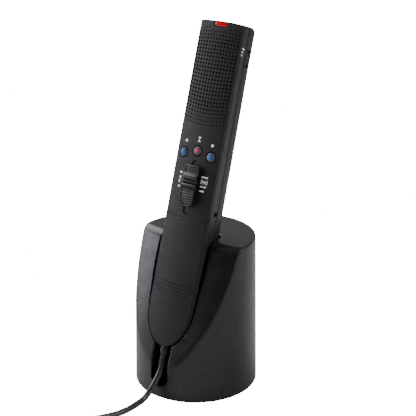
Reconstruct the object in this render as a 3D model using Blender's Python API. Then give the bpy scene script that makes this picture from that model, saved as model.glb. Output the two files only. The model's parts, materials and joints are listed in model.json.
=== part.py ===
"""Hand-held dictation microphone standing in its round weighted desk stand.

World frame: metres, +Z up, origin at the centre of the stand's underside, front of the stand towards -Y.
The microphone is modelled in its own frame and leans back: there x runs across its face, y runs from the
face towards its back, and z runs along it from its lower tip, where the cord comes out, to its top.
"""

import math

import bmesh
import bpy
from mathutils import Euler, Matrix, Vector

MM = 0.001
GAP = 0.3 * MM
TRIM = 0.07 * MM

# Stand
STAND_RADIUS = 35 * MM
STAND_TOP_RADIUS = 34 * MM
STAND_HEIGHT = 88.6 * MM
STAND_EDGE = 1.2 * MM
STAND_WALL = 2.6 * MM
ARM_TILT = math.radians(21.4)
ARM_CROWN = 1.56
ARM_FILLET = 4 * MM
RECESS_RADIUS = 32.3 * MM
RECESS_TOP = 3.6 * MM
BASE_SCREW_RADIUS = 26.5 * MM
BASE_SCREW_ANGLES = (-90, 30, 150)
BASE_SCREW_TIP = 6.6 * MM

# Microphone
LEAN = math.radians(17.9)
TIP = Vector((0, -31.4 * MM, 29.9 * MM))
HALF_WIDTH = 14.5 * MM
LENGTH = 184.4 * MM
TOP_ARCH = 0.8 * MM
TOP_CORNER = 2 * MM
TONGUE = 24 * MM
CROWN = 1.2 * MM
PANEL = 1.6 * MM
WALL = 1.6 * MM
PARTING = 75 * MM
BAND_FRONT = 1.9 * MM
BACK_START = 7.5 * MM
BACK_DEPTH = 18.4 * MM
BACK_POWER = 2.8
POCKET_GAP = 0.8 * MM
POCKET_FLOOR = 20 * MM

# Controls, in the microphone's frame
SIDE_BUTTON_X = 9.1 * MM
SIDE_BUTTON_Z = 110.3 * MM
RED_BUTTON_Z = 112.4 * MM
BUTTON_RADIUS = 2.8 * MM
FLANGE_RADIUS = 3.5 * MM
BUTTON_TRAVEL = 0.6 * MM
SLOT_HALF_WIDTH = 2.5 * MM
SLOT_LOW = 76.4 * MM
SLOT_HIGH = 107 * MM
CAP_LOW = 81.2 * MM
CAP_HIGH = 105 * MM
WHEEL_CENTRE = Vector((4.2 * MM, 8.7 * MM, 167 * MM))
WHEEL_RADIUS = 10.6 * MM
WHEEL_THICK = 2.8 * MM
JACK_Y = 6.5 * MM
JACK_Z = 79.3 * MM
SCREW_X = 8.6 * MM
SCREW_Z = (62 * MM, 121.5 * MM)
BOARD_FRONT = 4.9 * MM
BOARD_BACK = 5.9 * MM
SPEAKER_Z = 36 * MM
CAPSULE_Z = 152 * MM

# Cord
CORD_RADIUS = 1.75 * MM
CORD_Y = 2.8 * MM
RELIEF_END = -10.5 * MM
COIL_CENTRE = Vector((1 * MM, -136 * MM, 0))
COIL_TURN_RADIUS = 22 * MM
COIL_HALF_THICK = 7.15 * MM
PLUG_AXIS_Z = 18.7 * MM


def clear_scene():
    for item in list(bpy.data.objects):
        bpy.data.objects.remove(item, do_unlink=True)


def make_material(name, colour, roughness, metallic=0.0):
    made = bpy.data.materials.new(name)
    made.use_nodes = True
    shader = made.node_tree.nodes["Principled BSDF"]
    shader.inputs["Base Color"].default_value = (*colour, 1)
    shader.inputs["Roughness"].default_value = roughness
    shader.inputs["Metallic"].default_value = metallic
    return made


def add(name, bm, material=None, parent=None):
    """Turns a bmesh into a linked object with its faces pointing out."""
    bmesh.ops.recalc_face_normals(bm, faces=bm.faces)
    mesh = bpy.data.meshes.new(name)
    bm.to_mesh(mesh)
    bm.free()
    made = bpy.data.objects.new(name, mesh)
    bpy.context.scene.collection.objects.link(made)
    made.parent = parent
    if material:
        mesh.materials.append(material)
    return made


def helper(made):
    made.hide_render = True
    made.display_type = "WIRE"
    return made


def smooth(made, angle=35):
    made.data.shade_smooth()
    made.data.set_sharp_from_angle(angle=math.radians(angle))
    return made


def prism(name, outline, low, high, along="y", material=None, parent=None):
    """A flat outline pushed along one axis. Its points are the other two coordinates, in x, y, z order."""
    place = {
        "x": lambda a, b, depth: (depth, a, b),
        "y": lambda a, b, depth: (a, depth, b),
        "z": lambda a, b, depth: (a, b, depth),
    }[along]
    bm = bmesh.new()
    near = [bm.verts.new(place(a, b, low)) for a, b in outline]
    far = [bm.verts.new(place(a, b, high)) for a, b in outline]
    bm.faces.new(near)
    bm.faces.new(far[::-1])
    count = len(outline)
    for i in range(count):
        j = (i + 1) % count
        bm.faces.new((near[i], far[i], far[j], near[j]))
    return add(name, bm, material, parent)


def block(name, low, high, material=None, parent=None):
    outline = [(low[0], low[2]), (high[0], low[2]), (high[0], high[2]), (low[0], high[2])]
    return prism(name, outline, low[1], high[1], "y", material, parent)


def turned(name, profile, steps=48, material=None, parent=None, axis="z"):
    """A profile of (radius, height) points turned round an axis. A radius of 0 closes it there."""
    bm = bmesh.new()
    rings = []
    for radius, height in profile:
        if radius == 0:
            rings.append([bm.verts.new((0, 0, height))] * steps)
            continue
        ring = []
        for i in range(steps):
            angle = 2 * math.pi * i / steps
            ring.append(bm.verts.new((radius * math.cos(angle), radius * math.sin(angle), height)))
        rings.append(ring)
    if profile[0][0] and profile[-1][0]:
        rings.append(rings[0])
    for first, second in zip(rings, rings[1:]):
        for i in range(steps):
            j = (i + 1) % steps
            corners = list(dict.fromkeys((first[i], first[j], second[j], second[i])))
            if len(corners) > 2:
                bm.faces.new(corners)
    if axis == "y":
        bmesh.ops.rotate(bm, verts=bm.verts, matrix=Matrix.Rotation(-math.pi / 2, 3, "X"))
    if axis == "x":
        bmesh.ops.rotate(bm, verts=bm.verts, matrix=Matrix.Rotation(math.pi / 2, 3, "Y"))
    return add(name, bm, material, parent)


def disc(name, radius, low, high, centre=(0, 0, 0), steps=40, material=None, parent=None, axis="z"):
    made = turned(name, [(0, low), (radius, low), (radius, high), (0, high)], steps, material, parent, axis)
    made.location = centre
    return made


def combine(target, tool, operation="DIFFERENCE"):
    modifier = target.modifiers.new(tool.name, "BOOLEAN")
    modifier.operation = operation
    modifier.object = helper(tool)
    return target


def arc(cx, cy, radius, start, end, steps):
    """Points along an arc, with its angles in degrees."""
    angles = [math.radians(start + (end - start) * i / steps) for i in range(steps + 1)]
    return [(cx + radius * math.cos(a), cy + radius * math.sin(a)) for a in angles]


def pill(half_width, low, high, steps=8):
    """An upright slot outline with round ends."""
    top = arc(0, high - half_width, half_width, 0, 180, steps)
    bottom = arc(0, low + half_width, half_width, 180, 360, steps)
    return top + bottom


# ---------------------------------------------------------------- microphone outlines


def face_outline(inset=0.0, grow_top=0.0):
    """The face seen from the front: a round tongue below, straight sides, and a slightly arched top."""
    half = HALF_WIDTH - inset
    top = LENGTH - inset + grow_top
    points = []
    for i in range(25):
        angle = math.pi * i / 24
        points.append((-half * math.cos(angle), TONGUE - (TONGUE - inset) * math.sin(angle)))
    corner = max(TOP_CORNER - inset, 0.4 * MM)
    shoulder = top - TOP_ARCH
    points += arc(half - corner, shoulder - corner, corner, 0, 90, 4)
    for i in range(1, 8):
        across = 1 - 2 * i / 8
        x = (half - corner) * across
        points.append((x, top - TOP_ARCH * across * across))
    points += arc(-half + corner, shoulder - corner, corner, 90, 180, 4)
    return points


def crown_y(x):
    """How far the face's surface stands forward at x, as a y in the microphone's frame."""
    return -CROWN * (1 - (x / HALF_WIDTH) ** 2)


def seam_y(z):
    """Where the side band ends and the rear shell starts."""
    if z < 35 * MM:
        return 4 * MM + 5 * MM * math.sqrt(1 - (1 - max(z, 0) / (35 * MM)) ** 2)
    return 5.72 * MM + 0.022 * (LENGTH - z)


def back_y(z):
    """How far back the rear shell reaches along its middle."""
    if z < 45 * MM:
        return 7 * MM + 11.3 * MM * math.sqrt(1 - (1 - max(z, 0) / (45 * MM)) ** 2)
    return 15.8 * MM + 0.018 * (LENGTH - z)


def back_section(inset=0.0):
    """The rear shell's cross-section: straight sides that round over into the back."""
    half = HALF_WIDTH - inset
    depth = BACK_DEPTH - BACK_START - inset
    points = [(-half, -5 * MM), (half, -5 * MM)]
    for i in range(21):
        angle = math.pi * i / 20
        x = half * math.copysign(abs(math.cos(angle)) ** (2 / BACK_POWER), math.cos(angle))
        points.append((x, BACK_START + depth * math.sin(angle) ** (2 / BACK_POWER)))
    return points


def side_stations():
    low = [45 * MM * (1 - math.cos(math.pi * i / 20)) for i in range(11)]
    return low + [LENGTH * 0.5, LENGTH]


def shell_side(inset=0.0):
    """The rear shell from the side, from the seam to its back, with a rounded corner at the top."""
    stations = side_stations()
    radius = 4 * MM - inset
    front = [(seam_y(z) + GAP, z) for z in stations]
    top = LENGTH - inset + TRIM
    back_top = back_y(top) - inset
    corner = arc(back_top - radius, top - radius, radius, 90, 0, 5)
    back = [(back_y(z) - inset, z) for z in stations[:-1] if z > 2 * inset][::-1]
    if inset:
        front = [(-5 * MM, inset - TRIM), (-5 * MM, top)]
        back.append((back_y(inset) - inset, inset - TRIM))
    else:
        front[0] = (front[0][0], -TRIM)
        back.append((back_y(0), -TRIM))
    return front[:-1] + [(front[-1][0], top)] + corner + back


def band_side():
    """The side band from the side, from just behind the face to the seam."""
    stations = side_stations()
    front = [(BAND_FRONT, -MM), (BAND_FRONT, LENGTH + MM)]
    seam = [(seam_y(z), z) for z in stations]
    return front + [(seam[-1][0], LENGTH + MM)] + seam[::-1] + [(seam[0][0], -MM)]


def slab_section():
    """A cross-section of the crowned face plate, wide enough to be trimmed by the outline."""
    reach = HALF_WIDTH + MM
    xs = [-reach + 2 * reach * i / 16 for i in range(17)]
    front = [(x, crown_y(x)) for x in xs]
    back = [(x, crown_y(x) + PANEL) for x in xs]
    return front + back[::-1]


# ---------------------------------------------------------------- stand


def arm_cutter():
    """Everything in front of the stand's slanted, slightly crowned arm faces."""
    reach = 45 * MM
    xs = [reach * (2 * i / 16 - 1) for i in range(17)]
    outline = [(x, ARM_CROWN * x * x) for x in xs]
    outline += [(reach, -70 * MM), (-reach, -70 * MM)]
    made = prism("arm_cutter", outline, -45 * MM, 95 * MM, "z")
    made.location = (0, TIP.y + 0.1 * MM, TIP.z)
    made.rotation_euler = (-ARM_TILT, 0, 0)
    return made


def fillet_cutter():
    """Rounds the edge between the arm faces and the stand's top."""
    edge_y = TIP.y + 0.1 * MM + 0.9 * MM + (STAND_HEIGHT - TIP.z) * math.tan(ARM_TILT)
    half_turn = (math.pi / 2 - ARM_TILT) / 2
    tangent = ARM_FILLET * math.tan(half_turn)
    centre_y = edge_y + tangent
    centre_z = STAND_HEIGHT - ARM_FILLET
    end = 180 - math.degrees(ARM_TILT)
    round_part = arc(centre_y, centre_z, ARM_FILLET, 90, end, 6)
    outside = [(edge_y - 8 * MM, STAND_HEIGHT - 12 * MM), (edge_y - 8 * MM, STAND_HEIGHT + 3 * MM)]
    lift = [(centre_y, STAND_HEIGHT + 3 * MM)]
    return prism("fillet_cutter", lift + round_part + outside, -50 * MM, 50 * MM, "x")


def pocket_cutter(axes):
    """The space that the microphone stands in, open in front and at the top."""
    outline = face_outline(-POCKET_GAP, 60 * MM)
    made = prism("pocket_outline", outline, -40 * MM, POCKET_FLOOR, "y", None, axes)
    section = prism("pocket_section", back_section_grown(), -10 * MM, 260 * MM, "z", None, axes)
    return combine(made, section, "INTERSECT")


def back_section_grown():
    half = HALF_WIDTH + POCKET_GAP
    points = [(-half, -45 * MM), (half, -45 * MM)]
    for i in range(21):
        angle = math.pi * i / 20
        x = half * math.copysign(abs(math.cos(angle)) ** (2 / BACK_POWER), math.cos(angle))
        depth = (POCKET_FLOOR - BACK_START) * math.sin(angle) ** (2 / BACK_POWER)
        points.append((x, BACK_START + depth))
    return points


def slot_cutter(axes):
    """The slot below the pocket that the cord leaves through."""
    outline = pill(5.7 * MM, -22.8 * MM, 8 * MM)
    return prism("slot_cutter", outline, -40 * MM, 10 * MM, "y", None, axes)


def cavity_cutter(axes):
    """The hollow behind the pocket, open below."""
    low = STAND_RADIUS - STAND_WALL
    high = STAND_TOP_RADIUS - STAND_WALL
    top = STAND_HEIGHT - STAND_WALL
    made = turned("cavity_cutter", [(0, -MM), (low, -MM), (high, top), (0, top)], 48)
    wall_y = POCKET_FLOOR + STAND_WALL
    room = block("cavity_room", (-60 * MM, wall_y, -90 * MM), (60 * MM, 150 * MM, 150 * MM), None, axes)
    return combine(made, room, "INTERSECT")


def base_screw_place(angle):
    turn = math.radians(angle)
    return (BASE_SCREW_RADIUS * math.cos(turn), BASE_SCREW_RADIUS * math.sin(turn), 0)


def make_stand_shell(axes, plastic):
    bottom = 0.6 * MM
    profile = [
        (0, bottom),
        (STAND_RADIUS - 0.5 * MM, bottom),
        (STAND_RADIUS, bottom + 0.5 * MM),
        (STAND_TOP_RADIUS, STAND_HEIGHT - STAND_EDGE),
        (STAND_TOP_RADIUS - 0.35 * STAND_EDGE, STAND_HEIGHT - 0.35 * STAND_EDGE),
        (STAND_TOP_RADIUS - STAND_EDGE, STAND_HEIGHT),
        (0, STAND_HEIGHT),
    ]
    shell = turned("stand_shell", profile, 72, plastic)
    combine(shell, cavity_cutter(axes))
    for number, angle in enumerate(BASE_SCREW_ANGLES[1:], 1):
        boss = disc(f"boss_{number}", 6.2 * MM, MM, 15 * MM, base_screw_place(angle), 24)
        combine(shell, boss, "UNION")
    combine(shell, disc("recess_cutter", RECESS_RADIUS, -MM, RECESS_TOP, steps=64))
    combine(shell, arm_cutter())
    combine(shell, fillet_cutter())
    combine(shell, pocket_cutter(axes))
    combine(shell, slot_cutter(axes))
    for number, angle in enumerate(BASE_SCREW_ANGLES):
        place = base_screw_place(angle)
        hole = disc(f"screw_hole_{number}", 1.5 * MM, 2 * MM, BASE_SCREW_TIP + 0.6 * MM, place, 16)
        combine(shell, hole)
    return smooth(shell)


def make_stand_inside(axes, steel, rubber, zinc):
    """The ballast, the plate that closes the stand, its rubber foot and the screws."""
    low, high = 4 * MM, 26 * MM
    ballast = disc("ballast_weight", STAND_RADIUS - 3.4 * MM, low, high, steps=48, material=steel)
    wall_y = POCKET_FLOOR + STAND_WALL + GAP
    behind = block("ballast_room", (-60 * MM, wall_y, -90 * MM), (60 * MM, 150 * MM, 150 * MM), None, axes)
    combine(ballast, behind, "INTERSECT")
    for number, angle in enumerate(BASE_SCREW_ANGLES[1:], 1):
        room = disc(f"ballast_clear_{number}", 6.8 * MM, 0, 40 * MM, base_screw_place(angle), 24)
        combine(ballast, room)
    plate = disc("base_plate", RECESS_RADIUS - 0.5 * MM, 1.7 * MM, 3.2 * MM, steps=56, material=steel)
    disc("foot_pad", RECESS_RADIUS - 0.5 * MM, 0, 1.4 * MM, steps=56, material=rubber)
    profile = [
        (0, 1.75 * MM),
        (2.4 * MM, 1.75 * MM),
        (2.4 * MM, 2.3 * MM),
        (1.2 * MM, 2.9 * MM),
        (1.2 * MM, BASE_SCREW_TIP),
        (0, BASE_SCREW_TIP),
    ]
    room = [
        (0, MM),
        (2.75 * MM, MM),
        (2.75 * MM, 2.45 * MM),
        (1.55 * MM, 3.05 * MM),
        (1.55 * MM, 4 * MM),
        (0, 4 * MM),
    ]
    for number, angle in enumerate(BASE_SCREW_ANGLES, 1):
        screw = turned(f"base_screw_{number}", profile, 16, zinc)
        screw.location = base_screw_place(angle)
        cutter = turned(f"plate_hole_{number}", room, 16)
        cutter.location = base_screw_place(angle)
        combine(plate, cutter)


def make_cradle_pads(axes, rubber):
    """Two soft pads on the pocket's floor that the microphone's back leans on."""
    floor = POCKET_FLOOR - GAP
    for name, low, high in (("lower", 30, 42), ("upper", 52, 62)):
        corners = (-5 * MM, floor - MM, low * MM), (5 * MM, floor, high * MM)
        block(f"cradle_pad_{name}", *corners, rubber, axes)


# ---------------------------------------------------------------- microphone housing


def make_rear_shell(axes, plastic):
    """The rear half: a shell cut to the outline, the cross-section and the side view at once."""
    shell = prism("rear_shell", face_outline(), 0, 25 * MM, "y", plastic, axes)
    combine(shell, prism("shell_section", back_section(), -5 * MM, 190 * MM, "z", None, axes), "INTERSECT")
    combine(shell, prism("shell_side", shell_side(), -20 * MM, 20 * MM, "x", None, axes), "INTERSECT")
    room = prism("shell_room", face_outline(WALL), -MM, 25 * MM, "y", None, axes)
    section = prism("room_section", back_section(WALL), -5 * MM, 190 * MM, "z", None, axes)
    combine(room, section, "INTERSECT")
    combine(room, prism("room_side", shell_side(WALL), -20 * MM, 20 * MM, "x", None, axes), "INTERSECT")
    combine(shell, room)
    for number, (x, z) in enumerate(screw_places()):
        centre = (x, 0, z)
        boss = disc(f"rear_boss_{number}", 2.9 * MM, 6.2 * MM, 14.2 * MM, centre, 20, None, axes, "y")
        combine(shell, boss, "UNION")
        bore = disc(f"rear_bore_{number}", 1.2 * MM, 4 * MM, 13 * MM, centre, 14, None, axes, "y")
        combine(shell, bore)
        head = disc(f"rear_sink_{number}", 2.15 * MM, 12 * MM, 25 * MM, centre, 18, None, axes, "y")
        combine(shell, head)
    combine(shell, wheel_room(axes))
    combine(shell, relief_room(axes, "shell_relief_room"))
    return smooth(shell)


def make_mic_frame(axes, plastic):
    """The band round the microphone's side, between the face panels and the rear shell."""
    band = prism("mic_frame", face_outline(), 0, 20 * MM, "y", plastic, axes)
    inner = prism("band_inner", face_outline(WALL), -MM, 25 * MM, "y", None, axes)
    combine(band, inner)
    combine(band, prism("band_side", band_side(), -20 * MM, 20 * MM, "x", None, axes), "INTERSECT")
    combine(band, jack_hole(axes))
    combine(band, relief_room(axes, "band_relief_room"))
    return smooth(band)


def jack_hole(axes):
    centre = (0, JACK_Y, JACK_Z)
    return disc("jack_hole", 1.3 * MM, 10 * MM, 20 * MM, centre, 20, None, axes, "x")


def relief_room(axes, name):
    return disc(name, 2.15 * MM, -4 * MM, 4.2 * MM, (0, CORD_Y, 0), 20, None, axes)


def wheel_room(axes):
    half = WHEEL_THICK / 2 + 0.4 * MM
    radius = WHEEL_RADIUS + 0.5 * MM
    return disc("wheel_room", radius, -half, half, WHEEL_CENTRE, 40, None, axes, "y")


def screw_places():
    return [(side * SCREW_X, z) for z in SCREW_Z for side in (-1, 1)]


def make_face_panel(axes, plastic, name, low, high, posts_z):
    """One of the two crowned face plates, with its screw posts behind it."""
    panel = prism(name, face_outline(), -5 * MM, 5 * MM, "y", plastic, axes)
    slab = prism(f"{name}_slab", slab_section(), low, high, "z", None, axes)
    combine(panel, slab, "INTERSECT")
    for side in (-1, 1):
        centre = (side * SCREW_X, 0, posts_z)
        tag = f"{name}_{'right' if side > 0 else 'left'}"
        post = disc(f"{tag}_post", 2.2 * MM, 0.3 * MM, 4.6 * MM, centre, 16, None, axes, "y")
        combine(panel, post, "UNION")
        bore = disc(f"{tag}_bore", 1.05 * MM, 1.6 * MM, 6 * MM, centre, 12, None, axes, "y")
        combine(panel, bore)
    return panel


def make_face_panels(axes, plastic):
    top = LENGTH + 5 * MM
    upper = make_face_panel(axes, plastic, "upper_front_panel", PARTING + 0.15 * MM, top, SCREW_Z[1])
    for name, x, z in button_places():
        hole = disc(f"{name}_hole", BUTTON_RADIUS + GAP, -8 * MM, 8 * MM, (x, 0, z), 28, None, axes, "y")
        combine(upper, hole)
    slot = prism("slider_slot", pill(SLOT_HALF_WIDTH, SLOT_LOW, SLOT_HIGH), -8 * MM, 8 * MM, "y", None, axes)
    combine(upper, slot)
    lens_room = (-4.9 * MM, -8 * MM, 181.6 * MM), (4.9 * MM, 8 * MM, 200 * MM)
    combine(upper, block("lens_room", *lens_room, None, axes))
    lower = make_face_panel(axes, plastic, "lower_front_panel", -5 * MM, PARTING - 0.15 * MM, SCREW_Z[0])
    combine(lower, relief_room(axes, "panel_relief_room"))
    smooth(upper)
    smooth(lower)


def make_shell_screws(axes, zinc):
    profile = [
        (0, 2.2 * MM),
        (0.75 * MM, 2.2 * MM),
        (0.75 * MM, 12.3 * MM),
        (1.8 * MM, 12.3 * MM),
        (1.8 * MM, 13.8 * MM),
        (0, 13.8 * MM),
    ]
    for number, (x, z) in enumerate(screw_places(), 1):
        screw = turned(f"shell_screw_{number}", profile, 14, zinc, axes, "y")
        screw.location = (x, 0, z)


def make_lamp(axes, red, led):
    lens = prism("record_lamp_lens", face_outline(), -5 * MM, 1.6 * MM, "y", red, axes)
    slab = prism("lens_slab", slab_section(), 181.9 * MM, LENGTH + 5 * MM, "z", None, axes)
    combine(lens, slab, "INTERSECT")
    sides = (-4.6 * MM, -8 * MM, 170 * MM), (4.6 * MM, 8 * MM, 200 * MM)
    combine(lens, block("lens_sides", *sides, None, axes), "INTERSECT")
    block("record_led", (-1.6 * MM, 3 * MM, 176 * MM), (1.6 * MM, 4.6 * MM, 179 * MM), led, axes)


# ---------------------------------------------------------------- controls


def button_places():
    return (
        ("button_left", -SIDE_BUTTON_X, SIDE_BUTTON_Z),
        ("button_centre", 0, RED_BUTTON_Z),
        ("button_right", SIDE_BUTTON_X, SIDE_BUTTON_Z),
    )


def make_buttons(axes, ring, red, blue, switch):
    """Each button is a flanged ring with a coloured inlay, over its own push switch on the board."""
    for name, x, z in button_places():
        proud = crown_y(x) - 0.7 * MM
        flange = crown_y(abs(x) + FLANGE_RADIUS) + PANEL + GAP
        profile = [
            (0, proud + 0.9 * MM),
            (1.75 * MM, proud + 0.9 * MM),
            (1.75 * MM, proud + 0.1 * MM),
            (2.4 * MM, proud),
            (BUTTON_RADIUS, proud + 0.4 * MM),
            (BUTTON_RADIUS, flange),
            (FLANGE_RADIUS, flange),
            (FLANGE_RADIUS, flange + 0.7 * MM),
            (0, flange + 0.7 * MM),
        ]
        cap = turned(name, profile, 28, ring, axes, "y")
        cap.location = (x, 0, z)
        smooth(cap, 50)
        dome = [
            (0, proud - 0.15 * MM),
            (0.9 * MM, proud - 0.1 * MM),
            (1.45 * MM, proud + 0.15 * MM),
            (1.45 * MM, proud + 0.6 * MM),
            (0, proud + 0.6 * MM),
        ]
        colour = red if x == 0 else blue
        inlay = turned(name.replace("button", "button_inlay"), dome, 24, colour, axes, "y")
        inlay.location = (x, 0, z)
        smooth(inlay, 50)
        low = (x - 3 * MM, flange + 0.7 * MM + BUTTON_TRAVEL + GAP, z - 3 * MM)
        high = (x + 3 * MM, BOARD_FRONT - GAP, z + 3 * MM)
        block(name.replace("button", "push_switch"), low, high, switch, axes)


def make_slider(axes, black, dark, switch):
    """The slide switch: the thumb cap, the strip that keeps the slot shut, and the carriage behind it."""
    mid = 92 * MM
    outline = [(-1.55, CAP_LOW), (-4.6, CAP_LOW + 4 * MM), (-4.9, CAP_LOW + 12 * MM), (-4.4, CAP_HIGH - 3 * MM)]
    left = [(x * MM, z) for x, z in outline] + [(-3.2 * MM, CAP_HIGH)]
    right = [(-x, z) for x, z in left[::-1]]
    surface = crown_y(0) - GAP
    cap = prism("slider_cap", left + right, -12 * MM, surface, "y", black, axes)
    side = [
        (2 * MM, CAP_LOW - MM),
        (surface - 1.6 * MM, CAP_LOW - MM),
        (surface - 3.2 * MM, CAP_LOW + 4 * MM),
        (surface - 3.3 * MM, mid + 2.5 * MM),
        (surface - 4 * MM, mid + 4 * MM),
        (surface - 2.2 * MM, mid + 6 * MM),
        (surface - 2 * MM, CAP_HIGH - 5.5 * MM),
        (surface - 3.6 * MM, CAP_HIGH - 4 * MM),
        (surface - 1.8 * MM, CAP_HIGH + MM),
        (2 * MM, CAP_HIGH + MM),
    ]
    combine(cap, prism("cap_side", side, -8 * MM, 8 * MM, "x", None, axes), "INTERSECT")
    stem = (-1.4 * MM, surface - MM, 88 * MM), (1.4 * MM, 1.05 * MM, 98 * MM)
    combine(cap, block("cap_stem", *stem, None, axes), "UNION")
    strip_low = (-3.6 * MM, 0.75 * MM, 72.9 * MM)
    strip = block("dust_strip", strip_low, (3.6 * MM, 1.05 * MM, 106 * MM), dark, axes)
    hole = (-1.7 * MM, 0, 87.7 * MM), (1.7 * MM, 2 * MM, 98.3 * MM)
    combine(strip, block("strip_hole", *hole, None, axes))
    block("slider_carriage", (-4 * MM, 1.35 * MM, 87 * MM), (4 * MM, 2.5 * MM, 99 * MM), dark, axes)
    low = (-5 * MM, 2.8 * MM, 79 * MM)
    block("slide_switch", low, (5 * MM, BOARD_FRONT - GAP, 104 * MM), switch, axes)


def make_volume(axes, black, brass):
    """A knurled thumbwheel on the post of a small potentiometer."""
    teeth = 48
    outline = []
    for i in range(2 * teeth):
        radius = WHEEL_RADIUS - (0.35 * MM if i % 2 else 0)
        angle = math.pi * i / teeth
        outline.append((radius * math.cos(angle), radius * math.sin(angle)))
    half = WHEEL_THICK / 2
    wheel = prism("volume_wheel", outline, -half, half, "y", black, axes)
    wheel.location = WHEEL_CENTRE
    bore = disc("wheel_bore", 1.8 * MM, -5 * MM, 5 * MM, WHEEL_CENTRE, 20, None, axes, "y")
    combine(wheel, bore)
    profile = [
        (0, BOARD_BACK + GAP),
        (5 * MM, BOARD_BACK + GAP),
        (5 * MM, WHEEL_CENTRE.y - half - 0.4 * MM),
        (1.45 * MM, WHEEL_CENTRE.y - half - 0.4 * MM),
        (1.45 * MM, WHEEL_CENTRE.y + half + 0.6 * MM),
        (0, WHEEL_CENTRE.y + half + 0.6 * MM),
    ]
    pot = turned("volume_pot", profile, 24, brass, axes, "y")
    pot.location = (WHEEL_CENTRE.x, 0, WHEEL_CENTRE.z)


# ---------------------------------------------------------------- inside the microphone


def make_board(axes, green):
    low, high = (-11.4 * MM, BOARD_FRONT, 50 * MM), (11.4 * MM, BOARD_BACK, 180 * MM)
    board = block("main_board", low, high, green, axes)
    notch = (4.5 * MM, 4 * MM, 74.5 * MM), (15 * MM, 7 * MM, 84.1 * MM)
    combine(board, block("board_notch", *notch, None, axes))
    for number, (x, z) in enumerate(screw_places()):
        hole = disc(f"board_hole_{number}", 1.3 * MM, 3 * MM, 8 * MM, (x, 0, z), 14, None, axes, "y")
        combine(board, hole)


def make_sound_parts(axes, steel, paper, black, brass, felt):
    """The loudspeaker low in the body, and the microphone capsule behind the large grille."""
    centre = (0, 0, SPEAKER_Z)
    basket = [
        (0, 6 * MM),
        (10.2 * MM, 4.4 * MM),
        (10.2 * MM, 2.4 * MM),
        (11.2 * MM, 2.4 * MM),
        (11.2 * MM, 4.8 * MM),
        (6 * MM, 7 * MM),
        (0, 7 * MM),
    ]
    turned("speaker_basket", basket, 40, steel, axes, "y").location = centre
    cone = [
        (0, 3.6 * MM),
        (2.5 * MM, 3.6 * MM),
        (4 * MM, 4.6 * MM),
        (9.8 * MM, 2.6 * MM),
        (9.8 * MM, 3 * MM),
        (4 * MM, 5 * MM),
        (0, 5 * MM),
    ]
    turned("speaker_cone", cone, 40, paper, axes, "y").location = centre
    disc("speaker_magnet", 6 * MM, 7.3 * MM, 10.8 * MM, centre, 32, brass, axes, "y")
    centre = (0, 0, CAPSULE_Z)
    boot = [
        (5.1 * MM, 2.3 * MM),
        (6.2 * MM, 2.3 * MM),
        (6.2 * MM, BOARD_FRONT - GAP),
        (5.1 * MM, BOARD_FRONT - GAP),
    ]
    turned("capsule_boot", boot, 32, black, axes, "y").location = centre
    disc("mic_capsule", 4.8 * MM, 2.3 * MM, BOARD_FRONT - GAP, centre, 32, brass, axes, "y")
    block("grille_felt", (-12 * MM, 1.62 * MM, 127 * MM), (12 * MM, 2 * MM, 181 * MM), felt, axes)
    low, high = (5 * MM, JACK_Y - 2.2 * MM, 75 * MM), (12.5 * MM, JACK_Y + 2.2 * MM, 83.6 * MM)
    jack = block("earphone_jack", low, high, black, axes)
    bore = disc("jack_bore", 1.25 * MM, 6 * MM, 20 * MM, (0, JACK_Y, JACK_Z), 20, None, axes, "x")
    combine(jack, bore)


def make_cord_entry(axes, rubber, plastic, zinc, copper):
    """The strain relief in the tip, the clamp behind it, and the lead's tail up to the board."""
    profile = [(0, RELIEF_END), (1.9 * MM, RELIEF_END)]
    for i in range(4):
        low = RELIEF_END + (0.6 + 1.3 * i) * MM
        grow = 0.1 * i * MM
        profile += [(2 * MM + grow, low), (2 * MM + grow, low + 0.7 * MM), (1.8 * MM + grow, low + 0.9 * MM)]
    profile += [
        (2 * MM, -4.7 * MM),
        (2.5 * MM, -3.6 * MM),
        (2.6 * MM, -2.4 * MM),
        (2.2 * MM, -1.1 * MM),
        (1.8 * MM, -0.6 * MM),
        (1.8 * MM, 4.6 * MM),
        (2 * MM, 4.6 * MM),
        (2 * MM, 6 * MM),
        (0, 6 * MM),
    ]
    turned("strain_relief", profile, 20, rubber, axes).location = (0, CORD_Y, 0)
    clamp = block("cable_clamp", (-5 * MM, 7.6 * MM, 9 * MM), (5 * MM, 9 * MM, 12.6 * MM), plastic, axes)
    shaft = [(0, 2.4), (0.8, 2.4), (0.8, 9.3), (1.5, 9.3), (1.5, 10.2), (0, 10.2)]
    profile = [(radius * MM, height * MM) for radius, height in shaft]
    for name, side in (("left", -1), ("right", 1)):
        place = (side * 3.4 * MM, 0, 10.8 * MM)
        hole = disc(f"clamp_hole_{name}", 1.15 * MM, 5 * MM, 12 * MM, place, 12, None, axes, "y")
        combine(clamp, hole)
        turned(f"clamp_screw_{name}", profile, 12, zinc, axes, "y").location = place
    route = [(2.8, 6.4), (3.4, 8.5), (5.4, 12), (9.4, 17.5), (12.4, 24), (12.9, 32), (12.9, 42), (12.2, 47.6)]
    tube("lead_tail", [(0, y * MM, z * MM) for y, z in route], MM, copper, axes, 14)
    low, high = (-5 * MM, BOARD_BACK + GAP, 51 * MM), (5 * MM, 14 * MM, 56 * MM)
    socket = block("lead_socket", low, high, plastic, axes)
    smooth(socket)


# ---------------------------------------------------------------- cord


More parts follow.
